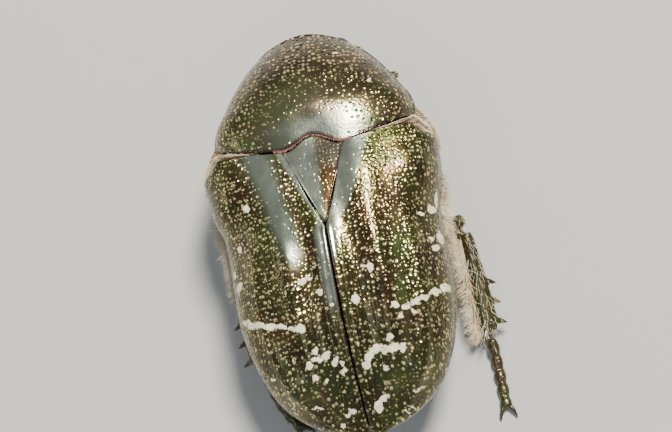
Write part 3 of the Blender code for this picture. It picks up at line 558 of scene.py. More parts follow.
# Cream marks as (distance from the seam, length position, half width, half length, turn in degrees)
marksLeft = (
    (3.25, -0.24, 0.15, 0.17, 0), (3.95, 1.29, 0.13, 0.13, 0), (4.25, 2.85, 0.2, 0.2, 20),
    (4.4, 2.2, 0.1, 0.24, 0), (1.42, 3.38, 0.15, 0.13, 0), (1.1, 3.3, 0.14, 0.13, 0),
    (0.76, 3.96, 0.12, 0.12, 0), (0.37, 4.49, 0.08, 0.08, 0), (4.12, 4.42, 0.34, 0.16, -22),
    (3.62, 4.64, 0.34, 0.17, -20), (3.08, 4.86, 0.34, 0.15, -18), (2.6, 5.02, 0.24, 0.11, -14),
    (2.15, 5.14, 0.2, 0.08, -12), (1.82, 5.2, 0.18, 0.15, 0), (1.42, 6.2, 0.11, 0.11, 0),
    (1.8, 6.66, 0.16, 0.13, 20), (1.45, 6.52, 0.24, 0.1, -20), (1.05, 6.48, 0.22, 0.12, 15),
    (0.72, 6.78, 0.22, 0.1, 48), (0.42, 6.82, 0.12, 0.1, 0), (0.5, 7.12, 0.2, 0.09, 60),
    (1.65, 7.15, 0.1, 0.11, 0), (1.28, 7.38, 0.09, 0.08, 0), (3.5, 6.85, 0.16, 0.12, 0),
    (1.95, 8.3, 0.26, 0.05, -20), (0.6, 8.72, 0.26, 0.11, 14), (1.08, 9.13, 0.11, 0.11, 0),
    (2.9, 7.95, 0.18, 0.06, 50),
)
marksRight = (
    (1.5, 3.32, 0.17, 0.17, 0), (1.24, 3.24, 0.1, 0.09, 0), (0.66, 4.52, 0.17, 0.17, 0),
    (2.22, 4.99, 0.17, 0.15, 0), (2.33, 5.46, 0.15, 0.15, 0), (1.72, 6.2, 0.14, 0.14, 0),
    (0.52, 7.05, 0.15, 0.17, 0), (0.72, 6.8, 0.2, 0.14, -42), (1.0, 6.6, 0.22, 0.18, 0),
    (1.4, 6.62, 0.26, 0.18, 0), (1.8, 6.6, 0.24, 0.18, 10), (2.15, 6.62, 0.16, 0.2, 0),
    (2.66, 5.14, 0.2, 0.12, -10), (3.05, 4.98, 0.22, 0.11, -12), (2.92, 5.34, 0.11, 0.1, 0),
    (3.42, 4.82, 0.26, 0.12, -12), (3.9, 4.62, 0.28, 0.13, -8), (4.35, 4.45, 0.24, 0.15, 0),
    (4.45, 1.05, 0.26, 0.2, 0), (4.6, 0.6, 0.12, 0.3, 0), (4.02, 1.27, 0.13, 0.11, 0),
    (4.52, 2.3, 0.22, 0.3, 10), (4.16, 2.33, 0.12, 0.11, 0), (4.28, 2.76, 0.16, 0.13, 0),
    (3.62, 7.6, 0.15, 0.16, 0), (1.28, 7.35, 0.1, 0.09, 0), (2.43, 8.24, 0.28, 0.045, -14),
    (1.99, 8.91, 0.15, 0.06, 30), (1.68, 9.05, 0.14, 0.07, 20), (0.62, 8.66, 0.15, 0.24, 25),
    (0.9, 8.4, 0.22, 0.12, -15),
)


def creamMask(x, y, arc, marks, seed):
    # Felted marks with ragged, slightly worn borders, as wide along the surface as they are in plan
    total = np.zeros_like(x)
    bentX = arc + 0.13 * waver(x, y, 0.17, seed) + 0.05 * waver(x, y, 0.06, seed + 4)
    bentY = y + 0.16 * waver(x, y, 0.15, seed + 2) + 0.06 * waver(x, y, 0.05, seed + 9)
    for across, place, halfWidth, halfLength, degrees in marks:
        turn = math.radians(degrees)
        spot = np.argmin((x - across) ** 2 + (y - place) ** 2)
        dx = bentX - arc.reshape(-1)[spot]
        dy = bentY - place
        wide = halfWidth * (1.06 + 0.55 * ramp(across, 3.6, 4.3))
        a = (dx * math.cos(turn) + dy * math.sin(turn)) / wide
        b = (dy * math.cos(turn) - dx * math.sin(turn)) / (halfLength * 0.95)
        distance = np.hypot(a, b)
        total = np.maximum(total, ramp(-distance, -1.10, -0.90))
    worn = ramp(softNoise(x, y, 0.06, seed + 13), 0.80, 0.92)
    return total * (1.0 - 0.6 * worn)


def wingRelief(x, y, half, side):
    # Ridges, hollows and engraved lines of a wing cover, as heights in millimetres above its smooth surface
    share = x / np.maximum(half, 0.5)
    rear = 1.0 / (1.0 + np.exp(-(y - 1.6) * 1.6))
    tail = 1.0 / (1.0 + np.exp((y - 8.2) * 2.4))
    relief = 0.10 * bump(x - 0.42, 0.30) * rear
    relief += 0.13 * bump(share - 0.42, 0.075) * tail * rear
    relief += 0.10 * bump(share - 0.74, 0.060) * tail * rear
    relief -= 0.12 * bump(share - 0.20, 0.100) * tail * rear
    relief += (0.12 if side < 0 else 0.03) * bump(x - 1.75, 0.75) * fade(y, 1.5, 3.6)
    relief += 0.16 * bump(x - 4.15, 0.70) * bump(y + 0.75, 0.95)
    relief += 0.26 * bump(x - 2.55, 0.80) * bump(y - 7.35, 0.70)
    relief -= 0.08 * bump(share - 0.86, 0.14) * bump(y - 1.3, 1.3)
    # Engraved lines beside the raised seam strip, on the rear half
    lines = ramp(y, 2.6, 4.2) * fade(y, 7.4, 8.6)
    for place in (0.30, 0.62, 0.92):
        relief -= 0.035 * bump(x - place, 0.035) * lines
    relief += 0.045 * bump(x - seam["wings"] - 0.10, 0.08) * ramp(y, scutellumTipY, scutellumTipY + 0.5)
    return relief


def smoothBandsAndPaintedReflection(x, y, side):
    # Bands without punctures: beside the scutellum and the seam, and down the left cover's inner disc. They
    # also carry a painted grey sky reflection, and the second result is the part of them that stays green,
    # where that painted reflection is weakened
    past = x - np.maximum(scutellumHalf(y), 0.0)
    if side > 0:
        reach = 0.24 + 0.30 * ramp(y, 0.8, 1.5)
        beside = fade(past, reach - 0.10, reach + 0.12) * fade(y, 4.0, 5.4)
        width = 0.58 - 0.06 * (y + 1.5)
        disc = bump(x - 2.25 + 0.19 * (y + 1.4), width) * fade(y, 2.2, 3.2) * 1.3
        outer = np.zeros_like(x)
    else:
        reach = 0.98 - 0.27 * np.maximum(y, 0.0)
        beside = fade(past, reach - 0.15, reach + 0.15) * fade(y, 2.4, 3.4)
        disc = np.zeros_like(x)
        outer = 0.6 * bump(x - 2.98 + 0.10 * (y - 0.7), 0.19) * ramp(y, -0.6, 0.6) * fade(y, 6.0, 7.2)
    tail = 0.55 * bump(x - 1.9, 0.9) * bump(y - 7.9, 0.8)
    ragged = 0.85 + 0.3 * softNoise(x, y, 0.35, 31)
    return np.clip(np.maximum.reduce((beside, disc, outer, tail)) * ragged, 0.0, 1.0), outer + tail


def brownPatches(x, y, side):
    # Maroon and brown grounds between the smooth bands
    if side > 0:
        patch = bump(x - 1.30 + 0.22 * (y - 0.3), 0.34) * ramp(y, -1.3, -0.5) * fade(y, 2.3, 3.3)
        patch += 0.5 * bump(x - 1.5, 0.9) * bump(y - 5.1, 1.5)
        patch += 0.5 * bump(x - 3.6, 0.8) * bump(y + 0.2, 1.2)
    else:
        patch = bump(x - 1.60, 0.36) * ramp(y, -0.2, 0.8) * fade(y, 3.2, 4.2)
        patch += 0.9 * bump(x - 1.85, 0.50) * bump(y - 4.9, 1.3)
        patch += 0.5 * bump(x - 4.2, 0.5) * bump(y - 2.0, 2.2)
    return np.clip(patch + 0.5 * ramp(softNoise(x, y, 0.7, 43 + side), 0.55, 0.9), 0.0, 1.0)


def buildWing(side, name, node, material):
    # Side is 1 for the left wing cover and -1 for the right one
    u, v = fractions(wing["rows"], wing["columns"])
    grid, half = wingSurface(u, v)
    x = grid[..., 0]
    y = grid[..., 1]
    arc = arcLength(grid) + x[:, :1]
    smooth_and_painted_reflection, green = smoothBandsAndPaintedReflection(x, y, side)
    rough = 1.0 - smooth_and_painted_reflection
    coarse, shine = pitPattern(arc, y, wing["pitSpacing"], wing["pitRadius"], 0.80 * rough, 11 + side, 0.55)
    keep = 0.82 * rough + 0.10
    fine, spark = pitPattern(arc, y, wing["fineSpacing"], wing["fineRadius"], keep, 41 + side, 0.45)
    cream = creamMask(x, y, arc, marksLeft if side > 0 else marksRight, 5 + side)
    bare = 1.0 - cream
    relief = wingRelief(x, y, half, side) - (wing["pitDepth"] * coarse + wing["fineDepth"] * fine) * bare
    relief += wing["markHeight"] * cream * (0.6 + 0.8 * softNoise(x, y, 0.05, 3))
    relief += 0.010 * waver(x, y, 0.45, 8)
    wrinkled = bump(x - 1.3, 0.9) * bump(y - 5.4, 1.5)
    relief += 0.014 * wrinkled * waver(x, y * 0.16, 0.07, 53)
    grid = grid + normalsOf(grid) * relief[..., None]
    past = x - x[:, :1]
    seamLine = fade(past, 0.005, 0.035) + 0.35 * fade(past, 0.09, 0.17) * ramp(y, 1.0, 1.6)
    # Painted glints: a share of the punctures is coloured bright gold as if it caught the light
    glint = np.maximum(coarse * ramp(shine, 0.2, 0.8), fine * ramp(spark, 0.35, 0.9)) * bare
    # The smooth bands' mask paints a grey sky reflection, weakened where they stay green
    masks = {
        "smooth_and_painted_reflection": smooth_and_painted_reflection * (1.0 - glint) * (0.9 - 0.82 * np.clip(green * 1.8, 0.0, 1.0)),
        "glint": glint * 0.92, "brown": brownPatches(x, y, side) * rough * 0.8,
        "dark": np.clip(0.45 + 0.45 * softNoise(x, y, 0.6, 21), 0.0, 1.0) * rough * (1.0 - glint),
        "cream": cream, "edge": np.clip(np.maximum(seamLine, 1.0 - ramp(u, 0.0, 0.006)), 0.0, 1.0),
    }
    grid[..., 0] *= side
    return gridMesh(name, grid, masks, wing["skirt"], material, node)


# Scutellum

scutellum = {
    "rows": 110, "columns": 90, "pitSpacing": 0.16, "pitRadius": 0.042, "pitDepth": 0.012, "skirt": 0.28,
}


def buildScutellum(material):
    u, v = fractions(scutellum["rows"], scutellum["columns"], -1.0)
    front = hindEdge(np.abs(v) * scutellumHalfWidth) + seam["pronotum"]
    y = front + (scutellumTipY + 0.02 - front) * u
    half = np.minimum(np.maximum(scutellumHalf(y), 0.05), scutellumHalf(wingBaseY))
    x = v * half
    z = curve(seamHeight, y)[..., 0] - 0.06 * v * v * (1.0 - u) + 0.02 * bump(np.abs(v) - 0.96, 0.04)
    z -= 0.025 * bump(x, 0.5) * (1.0 - u)
    keep = 0.25 * ramp(-y, 0.6, 2.0) + 0.65 * ramp(-x, -0.1, 0.2)
    pits, shine = pitPattern(x, y, scutellum["pitSpacing"], scutellum["pitRadius"], keep, 61, 0.3)
    grid = np.stack((x, y, z - scutellum["pitDepth"] * pits), axis=-1)
    # The left half gets a painted grey sky reflection and the punctures painted glints
    masks = {
        "smooth_and_painted_reflection": (1.0 - ramp(-x, -0.12, 0.25) * (1.0 - 0.5 * ramp(-y, 0.9, 1.9))) * 0.92,
        "glint": pits * shine * 0.8, "brown": ramp(-x, -0.1, 0.2) * 0.8, "dark": ramp(-x, -0.1, 0.3) * 0.25,
        "cream": np.zeros_like(x), "edge": ramp(np.abs(v), 0.975, 1.0),
    }
    return gridMesh("scutellum_plate", grid, masks, scutellum["skirt"], material, "scutellum")


# Pronotum

pronotum = {
    "rows": 280, "columns": 420, "pitSpacing": 0.225, "pitRadius": 0.078, "pitDepth": 0.024,
    "fineSpacing": 0.15, "fineRadius": 0.044, "fineDepth": 0.010, "rim": 0.13, "skirt": 0.20,
}


def pronotumSurface(u, v):
    # Smooth surface from fractions toward the head and from the right margin to the left one
    margin = alongLine(pronotumMargin, u)
    centre = alongLine(pronotumMidline, u)
    share = np.abs(v)
    angle = share * math.pi / 2
    reach = np.sin(angle) ** 0.92
    y = centre[..., 0] + (margin[..., 1] - centre[..., 0]) * reach ** (2.6 - 0.8 * u)
    y = y + hindLobe * lobeShape(reach) * np.maximum(0.0, 1.0 - 3.0 * u)
    z = margin[..., 2] + (centre[..., 1] - margin[..., 2]) * np.maximum(np.cos(angle), 0.0) ** 0.80
    return np.stack((np.sign(v) * margin[..., 0] * reach, y, z), axis=-1)


def buildPronotum(material):
    u, v = fractions(pronotum["rows"], pronotum["columns"], -1.0)
    grid = pronotumSurface(u, v)
    x = grid[..., 0]
    y = grid[..., 1]
    middle = pronotum["columns"] // 2
    arc = arcLength(grid)
    arc = arc - arc[:, middle:middle + 1]
    disc = bump(x / 2.6, 1.0) * bump((y + 3.7) / 1.7, 1.0)
    smoothMidAndPaintedReflection = bump((x + 0.3) / 2.0, 1.0) * ramp(y, -3.9, -3.1)
    keep = np.clip(0.97 - 0.60 * disc - 0.8 * smoothMidAndPaintedReflection, 0.0, 1.0)
    radius = pronotum["pitRadius"] * (1.0 - 0.40 * disc)
    pits, shine = pitPattern(arc, y, pronotum["pitSpacing"], radius, keep, 81, 0.35)
    fine, spark = pitPattern(arc, y, pronotum["fineSpacing"], pronotum["fineRadius"], keep * 0.75, 85, 0.3)
    rim = bump(np.abs(v) - 0.975, 0.018) * ramp(u, 0.0, 0.04)
    groove = bump(np.abs(v) - 0.935, 0.016)
    front = bump(u - 0.985, 0.012)
    relief = pronotum["rim"] * 0.55 * rim - 0.04 * groove + 0.03 * front
    relief -= (pronotum["pitDepth"] * pits + pronotum["fineDepth"] * fine) * (1.0 - rim)
    relief += 0.02 * waver(x, y, 0.9, 18)
    relief *= 1.0 - ramp(u, 0.90, 0.98) * ramp(np.abs(v), 0.55, 0.90)
    grid = grid + normalsOf(grid) * relief[..., None]
    dots = creamMask(x, y, x, ((-1.5, -6.53, 0.10, 0.10, 0), (-2.74, -4.86, 0.10, 0.10, 0)), 91)
    # Painted glints in the punctures, weaker on the disc
    glint = np.maximum(pits * ramp(shine, 0.15, 0.6), fine * ramp(spark, 0.4, 0.85)) * (0.95 - 0.75 * disc)
    brown = 0.75 * ramp(-y, 4.6, 6.4) + 0.7 * bump(x + 2.9, 1.1) * bump(y + 5.0, 1.4)
    brown += 0.4 * ramp(np.abs(x), 3.0, 4.2)
    # The smooth bands' mask paints a grey sky reflection on the disc, the smooth middle and the rim bead
    masks = {
        "smooth_and_painted_reflection": np.clip(0.35 * disc + 0.85 * smoothMidAndPaintedReflection + 0.7 * rim, 0.0, 1.0) * (1.0 - pits),
        "glint": glint, "brown": np.clip(brown, 0.0, 0.85) * (1.0 - disc) * (1.0 - rim),
        "dark": (0.38 + 0.45 * softNoise(x, y, 0.8, 24)) * (1.0 - 0.8 * disc) * (1.0 - glint) * (1.0 - rim),
        "cream": dots, "edge": fade(u, 0.008, 0.026) * 0.8,
    }
    return gridMesh("pronotum_shield", grid, masks, pronotum["skirt"], material, "pronotum")


# Mesepimera, the felted wedges between the pronotum's hind corners and the wing cover bases

wedge = {
    "rows": 150, "columns": 60, "swell": 0.10, "lowSwell": 0.12, "pitSpacing": 0.17, "pitRadius": 0.055,
    "pitDepth": 0.016, "skirt": 0.3, "length": 5.5, "width": 1.4,
}
# Front and back edges from the inner end outward and down, as (half width, length position, height)
wedgeFront = (
    (2.40, -2.62, 7.10), (3.20, -2.78, 6.82), (3.80, -3.02, 6.38), (4.12, -3.22, 5.80), (4.28, -3.55, 5.30),
    (4.36, -3.88, 4.95), (4.46, -3.70, 4.45), (4.56, -3.20, 3.90),
)
wedgeBack = (
    (2.40, -2.42, 7.38), (3.20, -2.46, 7.22), (3.80, -2.44, 7.02), (4.25, -2.38, 6.72), (4.62, -2.26, 6.28),
    (4.98, -1.98, 5.60), (5.16, -1.86, 4.90), (4.92, -2.30, 3.92),
)


def buildWedge(side, name, node, material):
    u, v = fractions(wedge["rows"], wedge["columns"])
    front = alongLine(wedgeFront, u[:, 0])
    back = alongLine(wedgeBack, u[:, 0])
    grid = front[:, None] * (1.0 - v[..., None]) + back[:, None] * v[..., None]
    swell = (wedge["swell"] + wedge["lowSwell"] * u) * np.sin(math.pi * v) * ramp(u, 0.15, 0.5)
    along = u * wedge["length"]
    across = v * wedge["width"]
    pits, _ = pitPattern(along, across, wedge["pitSpacing"], wedge["pitRadius"], 0.8, 131, 0.3)
    swell = swell - wedge["pitDepth"] * pits + 0.012 * waver(along, across, 0.1, 5)
    grid = grid + normalsOf(grid) * swell[..., None]
    middle = bump(v - 0.5, 0.30) * fade(u, 0.30, 0.62)
    blotch = ramp(softNoise(along, across, 0.24, 135), 0.35, 0.60) * ramp(u, 0.30, 0.50)
    bare = np.clip(1.2 * middle + 0.5 * pits + 0.75 * blotch, 0.0, 1.0)
    grid[..., 0] *= side
    return gridMesh(name, grid, {"bare": bare}, wedge["skirt"], material, node)


# Body, head and legs from the solids, remeshed to smooth living forms

def readVectors(items, key):
    values = np.empty(len(items) * 3, dtype=np.float32)
    items.foreach_get(key, values)
    return values.reshape(-1, 3)


def solidPoints(node):
    # Corner points of a CAD solid in millimetres of the frame
    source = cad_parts[node]
    turn = np.array(source.matrix_world)
    return (readVectors(source.data.vertices, "co") @ turn[:3, :3].T + turn[:3, 3]) / mm


def facingPlace(first, second):
    # Middle of the stretch where two solids face each other
    a = solidPoints(first)
    b = solidPoints(second)
    distance = np.linalg.norm(a[:, None] - b[None], axis=2)
    i, j = np.nonzero(distance < distance.min() + 0.15)
    return (a[i].mean(axis=0) + b[j].mean(axis=0)) / 2


skin = {"slideSize": 0.97, "soften": 0.5, "grainSize": 0.16}


def livingForm(name, nodes, voxel, rounds, grain, material, mark=None, links=(), slides=()):
    # Joined copy of CAD solids at a fine even grid, softened, then grained along its normals. Links are
    # knots of (solid, solid, radii) that bridge a joint, slides are copies moved back to close a body seam
    work = bmesh.new()
    moves = [(node, 0.0, 1.0) for node in nodes] + [(node, move, skin["slideSize"]) for node, move in slides]
    for node, move, size in moves:
        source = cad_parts[node]
        mesh = source.data.copy()
        low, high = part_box(node)
        centre = (low + high) / 2
        mesh.transform(source.matrix_world)
        mesh.transform(Matrix.Translation(centre + Vector((0.0, move * mm, 0.0))) @ Matrix.Scale(size, 4)
                       @ Matrix.Translation(-centre))
        work.from_mesh(mesh)
        bpy.data.meshes.remove(mesh)
    bmesh.ops.scale(work, vec=(1 / mm, 1 / mm, 1 / mm), verts=work.verts)
    for first, second, radii in links:
        place = Matrix.Translation(Vector(facingPlace(first, second))) @ Matrix.Diagonal((*radii, 1.0))
        bmesh.ops.create_icosphere(work, subdivisions=3, radius=1.0, matrix=place)
    mesh = bpy.data.meshes.new(name)
    work.to_mesh(mesh)
    work.free()
    mesh.materials.clear()
    piece = addObject(name, mesh)
    remesh = piece.modifiers.new("remesh", "REMESH")
    remesh.mode = "VOXEL"
    remesh.voxel_size = voxel
    soften = piece.modifiers.new("soften", "SMOOTH")
    soften.factor = skin["soften"]
    soften.iterations = rounds
    bpy.context.view_layer.update()
    solved = bpy.data.meshes.new_from_object(piece.evaluated_get(bpy.context.evaluated_depsgraph_get()))
    piece.modifiers.clear()
    piece.data = solved
    points = readVectors(solved.vertices, "co") - shift
    normals = readVectors(solved.vertices, "normal")
    height = grain * waver(points[:, 0] + points[:, 2], points[:, 1], skin["grainSize"], 7)
    if mark:
        height = height + mark(points)
    points = (points + normals * height[:, None] + shift) * mm
    solved.vertices.foreach_set("co", points.astype(np.float32).reshape(-1))
    solved.materials.clear()
    solved.materials.append(material)
    solved.shade_smooth()
    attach(piece, "root")
    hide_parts(*nodes)
    return piece


def bodyGrain(points):
    # Scattered punctures
    pits, _ = pitPattern(points[:, 0] + 0.4 * points[:, 2], points[:, 1], 0.30, 0.09, 0.7, 101, 0.4)
    return -0.020 * pits


def legGrain(points):
    # Closer and finer punctures
    pits, _ = pitPattern(points[:, 0] + 0.6 * points[:, 2], points[:, 1], 0.19, 0.06, 0.8, 111, 0.3)
    return -0.014 * pits


# Growth of the globes beyond the solid eyes, across and all round
eye = {"across": 1.16, "round": 1.30, "subdivisions": 5}


def buildEyes(material):
    for side in ("left", "right"):
        low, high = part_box("eye_" + side)
        centre = (low + high) / 2
        radii = (high - low) / 2
        sizes = (radii.x * eye["across"], radii.y * eye["round"], radii.z * eye["round"], 1.0)
        mesh = bpy.data.meshes.new("eye_globe_" + side)
        work = bmesh.new()
        bmesh.ops.create_icosphere(work, subdivisions=eye["subdivisions"], radius=1.0)
        place = Matrix.Translation(centre) @ Matrix.Diagonal(sizes)
        bmesh.ops.transform(work, matrix=place, verts=work.verts)
        work.to_mesh(mesh)
        work.free()
        mesh.materials.append(material)
        mesh.shade_smooth()
        piece = addObject("eye_globe_" + side, mesh)
        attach(piece, "root")
        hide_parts("eye_" + side)


# Hair: tapered three-sided hairs in joined meshes, each laid along its part

# Coats as (hairs per square millimetre, length, width, rise), fringes as (length, width, rise)
hair = {
    "flanks": (30.0, 0.60, 0.024, 0.42), "belly": (7.0, 0.34, 0.020, 0.32),
    "head": (9.0, 0.26, 0.016, 0.45), "wedge": (34.0, 0.36, 0.018, 0.40), "foot": (9.0, 0.22, 0.018, 0.45),
    "shin": (22.0, 0.42, 0.022, 0.50), "hindShin": (30.0, 0.42, 0.022, 0.50),
    "golden": (0.62, 0.034, 0.55), "pale": (0.84, 0.034, 0.55), "fringeStray": 0.55, "stray": 0.35,
    "rim": (0.62, 0.026, 0.10), "rimCount": 620, "pronotum": (0.16, 0.014, 0.25), "pronotumCount": 420,
}
upward = (0.0, 0.0, 1.0)
tailward = (0.0, 1.0, -0.25)


def alike(direction, count):
    return np.repeat(np.array([direction]), count, axis=0)


def hairMesh(name, roots, normals, lie, form, material, seed, stray=hair["stray"]):
    # One joined piece of hairs from arrays of roots, normals and lie directions in the frame, in millimetres
    length, width, rise = form
    draw = np.random.default_rng(seed)
    count = len(roots)
    lie = lie - normals * np.sum(lie * normals, axis=1, keepdims=True)
    lie /= np.maximum(np.linalg.norm(lie, axis=1, keepdims=True), 1e-6)
    lie = lie + stray * draw.normal(size=(count, 3))
    lie -= normals * np.sum(lie * normals, axis=1, keepdims=True)
    lie /= np.maximum(np.linalg.norm(lie, axis=1, keepdims=True), 1e-6)
    lengths = length * (0.65 + 0.6 * draw.random(count))[:, None]
    lifts = rise * (0.7 + 0.6 * draw.random(count))[:, None]
    side = np.cross(lie, normals)
    bend = draw.normal(size=(count, 1)) * 0.12
    stages = []
    for share, thick in ((0.0, 1.0), (0.45, 0.8), (1.0, 0.12)):
        centre = roots + lie * lengths * share * (1.0 - 0.15 * share)
        centre = centre + normals * (lifts * lengths * (share - 0.45 * share * share) - 0.03 * (share == 0.0))
        centre = centre + side * bend * lengths * share * share
        for corner in range(3):
            turn = 2.0 * math.pi * corner / 3
            stages.append(centre + (side * math.cos(turn) + normals * math.sin(turn)) * width * thick / 2)
    points = np.stack(stages, axis=1).reshape(-1, 3)
    block = np.arange(count)[:, None] * 9
    faces = []
    for stage in (0, 3):
        for corner in range(3):
            a = stage + corner
            b = stage + (corner + 1) % 3
            faces.append(block + np.array([[a, b, b + 3, a + 3]]))
    quads = np.stack(faces, axis=1).reshape(-1, 4)
    piece = makePiece(name, points - shift, quads, {}, material, ())
    patchUnwrap(piece, roots, quads.size // count)


def patchUnwrap(piece, roots, corners):
    # Each hair is a tiny patch at its root's place on an unwrap of the skin round the body's long axis
    u = 0.5 + np.arctan2(roots[:, 0] - midlineX, roots[:, 2] - 4.0) / (2.0 * math.pi)
    v = (roots[:, 1] - roots[:, 1].min()) / max(float(np.ptp(roots[:, 1])), 0.001)
    centre = np.stack((0.01 + 0.98 * u, 0.01 + 0.98 * v), axis=1)
    turns = np.arange(corners) * 2.0 * math.pi / 4
    offsets = 0.0015 * np.stack((np.cos(turns), np.sin(turns)), axis=1)
    layer = piece.data.uv_layers.new(name="OFBake")
    spread = (centre[:, None, :] + offsets[None, :, :]).reshape(-1)
    layer.data.foreach_set("uv", spread.astype(np.float32))


def scatter(piece, density, seed, keep):
    # Roots in millimetres and normals, spread over a piece's faces where keep allows
    draw = np.random.default_rng(seed)
    mesh = piece.data
    count = len(mesh.polygons)
    centres = readVectors(mesh.polygons, "center") / mm
    normals = readVectors(mesh.polygons, "normal")
    areas = np.empty(count, dtype=np.float32)
    mesh.polygons.foreach_get("area", areas)
    wanted = areas / mm ** 2 * density * keep(centres - shift, normals)
    chosen = draw.random(count) < wanted
    jitter = draw.normal(size=(int(chosen.sum()), 3)) * 0.02
    return centres[chosen] + jitter, normals[chosen]


def coatOver(name, piece, coat, lie, material, keep, seed):
    # One coat of hairs over a piece where keep allows, all lying in about one direction
    roots, normals = scatter(piece, coat[0], seed, keep)
    hairMesh(name, roots, normals, alike(lie, len(roots)), coat[1:], material, seed)


def buildHair(body, wedges, legs, pale, rusty, dark, golden):
    legward = (0.0, 1.0, -0.3)
    coatOver("hair_flanks", body, hair["flanks"], tailward, pale, flankKeep, 17)
    coatOver("hair_belly", body, hair["belly"], tailward, pale, bellyKeep, 18)
    coatOver("hair_head", body, hair["head"], (0.0, -0.3, -1.0), pale, headKeep, 19)
    for side, piece in wedges.items():
        outward = (0.5 if side == "left" else -0.5, 1.0, 0.0)
        coatOver(f"hair_wedge_{side}", piece, hair["wedge"], outward, golden, anyKeep, 20)
    for leg, piece in legs.items():
        thick = hair["hindShin" if leg == "hind" else "shin"]
        coatOver(f"hair_{leg}_shin", piece, thick, legward, pale, highKeep, 21)
        coatOver(f"hair_{leg}_foot", piece, hair["foot"], legward, dark, footKeep, 22)
    for side, sign in (("right", -1.0), ("left", 1.0)):
        for name, start, count, inward, material in (
                ("golden", 0.00, 300, 0.80, golden), ("pale", 0.20, 360, 0.66, pale)):
            roots = shinRoots(side, sign, start, count, 61 + count + len(name))
            lie = alike((-sign * inward, 0.8, 0.0), count)
            hairMesh(f"fringe_{name}_{side}", roots, alike(upward, count), lie, hair[name], material,
                     63, hair["fringeStray"])
        roots, lie = rimRoots(sign)
        hairMesh(f"hair_rim_{side}", roots, alike(upward, len(roots)), lie, hair["rim"], pale, 65)
    roots = fringeRoots()
    count = len(roots)
    hairMesh("hair_pronotum_fringe", roots, alike(upward, count), alike(tailward, count), hair["pronotum"],
             rusty, 37)


def rimRoots(sign):
    # Places and directions of the hairs that stand out below the wing cover's side margin
    draw = np.random.default_rng(71)
    count = hair["rimCount"]
    y = draw.triangular(-1.0, 1.0, 3.0, count)
    reach = curve([(place, half, height) for half, place, height in wingMargin], y)
    z = reach[:, 1] - draw.uniform(0.15, 0.75, count)
    roots = np.stack((sign * (reach[:, 0] - 0.10), y, z), axis=1) + shift
    return roots, alike((sign * 0.9, 0.55, 0.0), count)


def shinRoots(side, sign, start, count, seed):
    # Places along the inner side of a hind shin, from a share of its length to the ankle
    draw = np.random.default_rng(seed)
    knee = facingPlace("femur_hind_" + side, "tibia_hind_" + side)
    ankle = facingPlace("tibia_hind_" + side, "tarsus_hind_" + side)
    share = draw.uniform(start, 0.97, (count, 1))
    roots = knee + (ankle - knee) * share
    reach = 0.08 + 0.20 * share
    aside = (-sign * reach, np.zeros((count, 1)), draw.uniform(-0.22, 0.22, (count, 1)))
    return roots + np.concatenate(aside, axis=1)


def fringeRoots():
    # Places of the fine hairs along the pronotum's hind edge before the scutellum
    draw = np.random.default_rng(51)
    count = hair["pronotumCount"]
    x = draw.uniform(-1.7, 1.7, count)
    y = hindEdge(x) - 0.03 + draw.normal(size=count) * 0.015
    z = curve(seamHeight, y)[:, 0] + 0.03
    return np.stack((x, y, z), axis=1) + shift


def flankKeep(points, normals):
    # Thick on the flanks of the middle and hind body, none on the top that the shell hides
    outward = ramp(np.abs(points[:, 0]), 1.6, 3.6)
    return outward * (points[:, 1] > -6.3) * (normals[:, 2] < 0.85) * (0.35 + 0.65 * (points[:, 1] < 3.0))


def bellyKeep(points, normals):
    return (normals[:, 2] < -0.2) * (points[:, 1] > -6.3)


def headKeep(points, normals):
    return 1.0 * (points[:, 1] < -6.5)


# Legs carry one coat above this height and another below it
footTop = 0.80


def highKeep(points, normals):
    return 1.0 * (points[:, 2] > footTop)


def footKeep(points, normals):
    return 1.0 * (points[:, 2] <= footTop)


def anyKeep(points, normals):
    return np.ones(len(points))


# The model

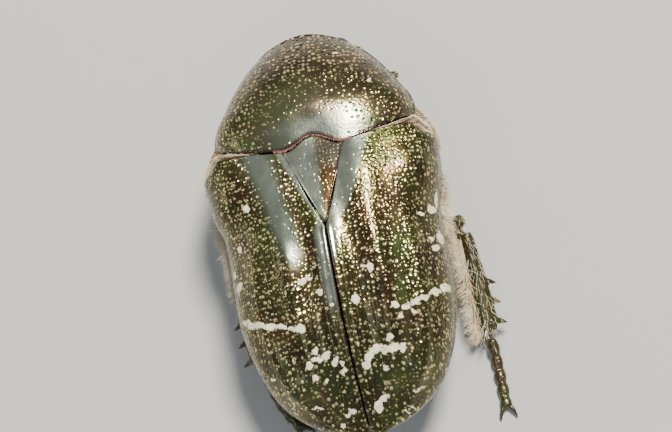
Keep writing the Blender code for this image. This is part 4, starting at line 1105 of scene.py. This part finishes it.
print("camera, light and floor")
addCamera()
addStage()
print("materials")
chitinTones = chitinGroup()
shell = shellMaterial("bronze_shell", chitinTones)
bodySkin = bodyMaterial("body_bronze", chitinTones, (0.050, 0.028, 0.018), 0.75, 0.30, 4200.0)
legSkin = bodyMaterial("leg_bronze", chitinTones, (0.022, 0.012, 0.008), 0.60, 0.30, 6400.0)
feelerSkin = bodyMaterial("feeler_brown", chitinTones, (0.080, 0.030, 0.012), 0.15, 0.40, 8000.0)
felt = feltMaterial("cream_felt")
paleHair = hairMaterial("pale_hair", (0.74, 0.66, 0.48), (0.50, 0.38, 0.22))
rustyHair = hairMaterial("rusty_hair", (0.42, 0.18, 0.12), (0.25, 0.10, 0.06))
darkHair = hairMaterial("dark_hair", (0.16, 0.10, 0.06), (0.06, 0.04, 0.03))
goldenHair = hairMaterial("golden_hair", (0.80, 0.64, 0.38), (0.62, 0.38, 0.16))
print("wing covers")
buildWing(-1, "wing_cover_right", "elytron_right", shell)
buildWing(1, "wing_cover_left", "elytron_left", shell)
print("scutellum, pronotum and wedges")
buildScutellum(shell)
buildPronotum(shell)
wedgePieces = {}
for side, sign in (("right", -1), ("left", 1)):
    wedgePieces[side] = buildWedge(sign, "wedge_" + side, "mesepimeron_" + side, felt)
print("body and head")
bodyForm = livingForm(
    "body_skin", ("thorax", "abdomen", "prothorax", "head"), 0.065, 5, 0.012, bodySkin, bodyGrain,
    links=(("head", "prothorax", (1.55, 0.70, 0.60)),),
    slides=(("prothorax", 0.50), ("thorax", 0.50), ("abdomen", 0.45)))
livingForm("mouth_form", ("mouthparts",), 0.045, 4, 0.006, feelerSkin,
           links=(("mouthparts", "head", (0.45, 0.25, 0.25)),))
livingForm("pygidium_form", ("pygidium",), 0.055, 5, 0.008, shell, bodyGrain)
for side in ("right", "left"):
    stem, club = "antenna_stem_" + side, "antenna_club_" + side
    livingForm("feeler_" + side, (stem, club), 0.035, 3, 0.004, feelerSkin,
               links=((stem, club, (0.17, 0.17, 0.22)), (stem, "head", (0.18, 0.18, 0.22))))
print("legs")
legForms = {}
for leg, host in (("fore", "prothorax"), ("middle", "thorax"), ("hind", "thorax")):
    nodes = []
    links = []
    for side in ("right", "left"):
        femur, tibia, tarsus = (f"{part}_{leg}_{side}" for part in ("femur", "tibia", "tarsus"))
        nodes += [femur, tibia, tarsus]
        joints = ((host, femur, 0.30), (femur, tibia, 0.25), (tibia, tarsus, 0.17))
        links += [(first, second, (radius, radius, radius)) for first, second, radius in joints]
    legForms[leg] = livingForm(f"legs_{leg}", nodes, 0.042, 3, 0.010, legSkin, legGrain, links=links)
print("eyes")
buildEyes(eyeMaterial("eye_gloss"))
print("hair")
buildHair(bodyForm, wedgePieces, legForms, paleHair, rustyHair, darkHair, goldenHair)
print("done")
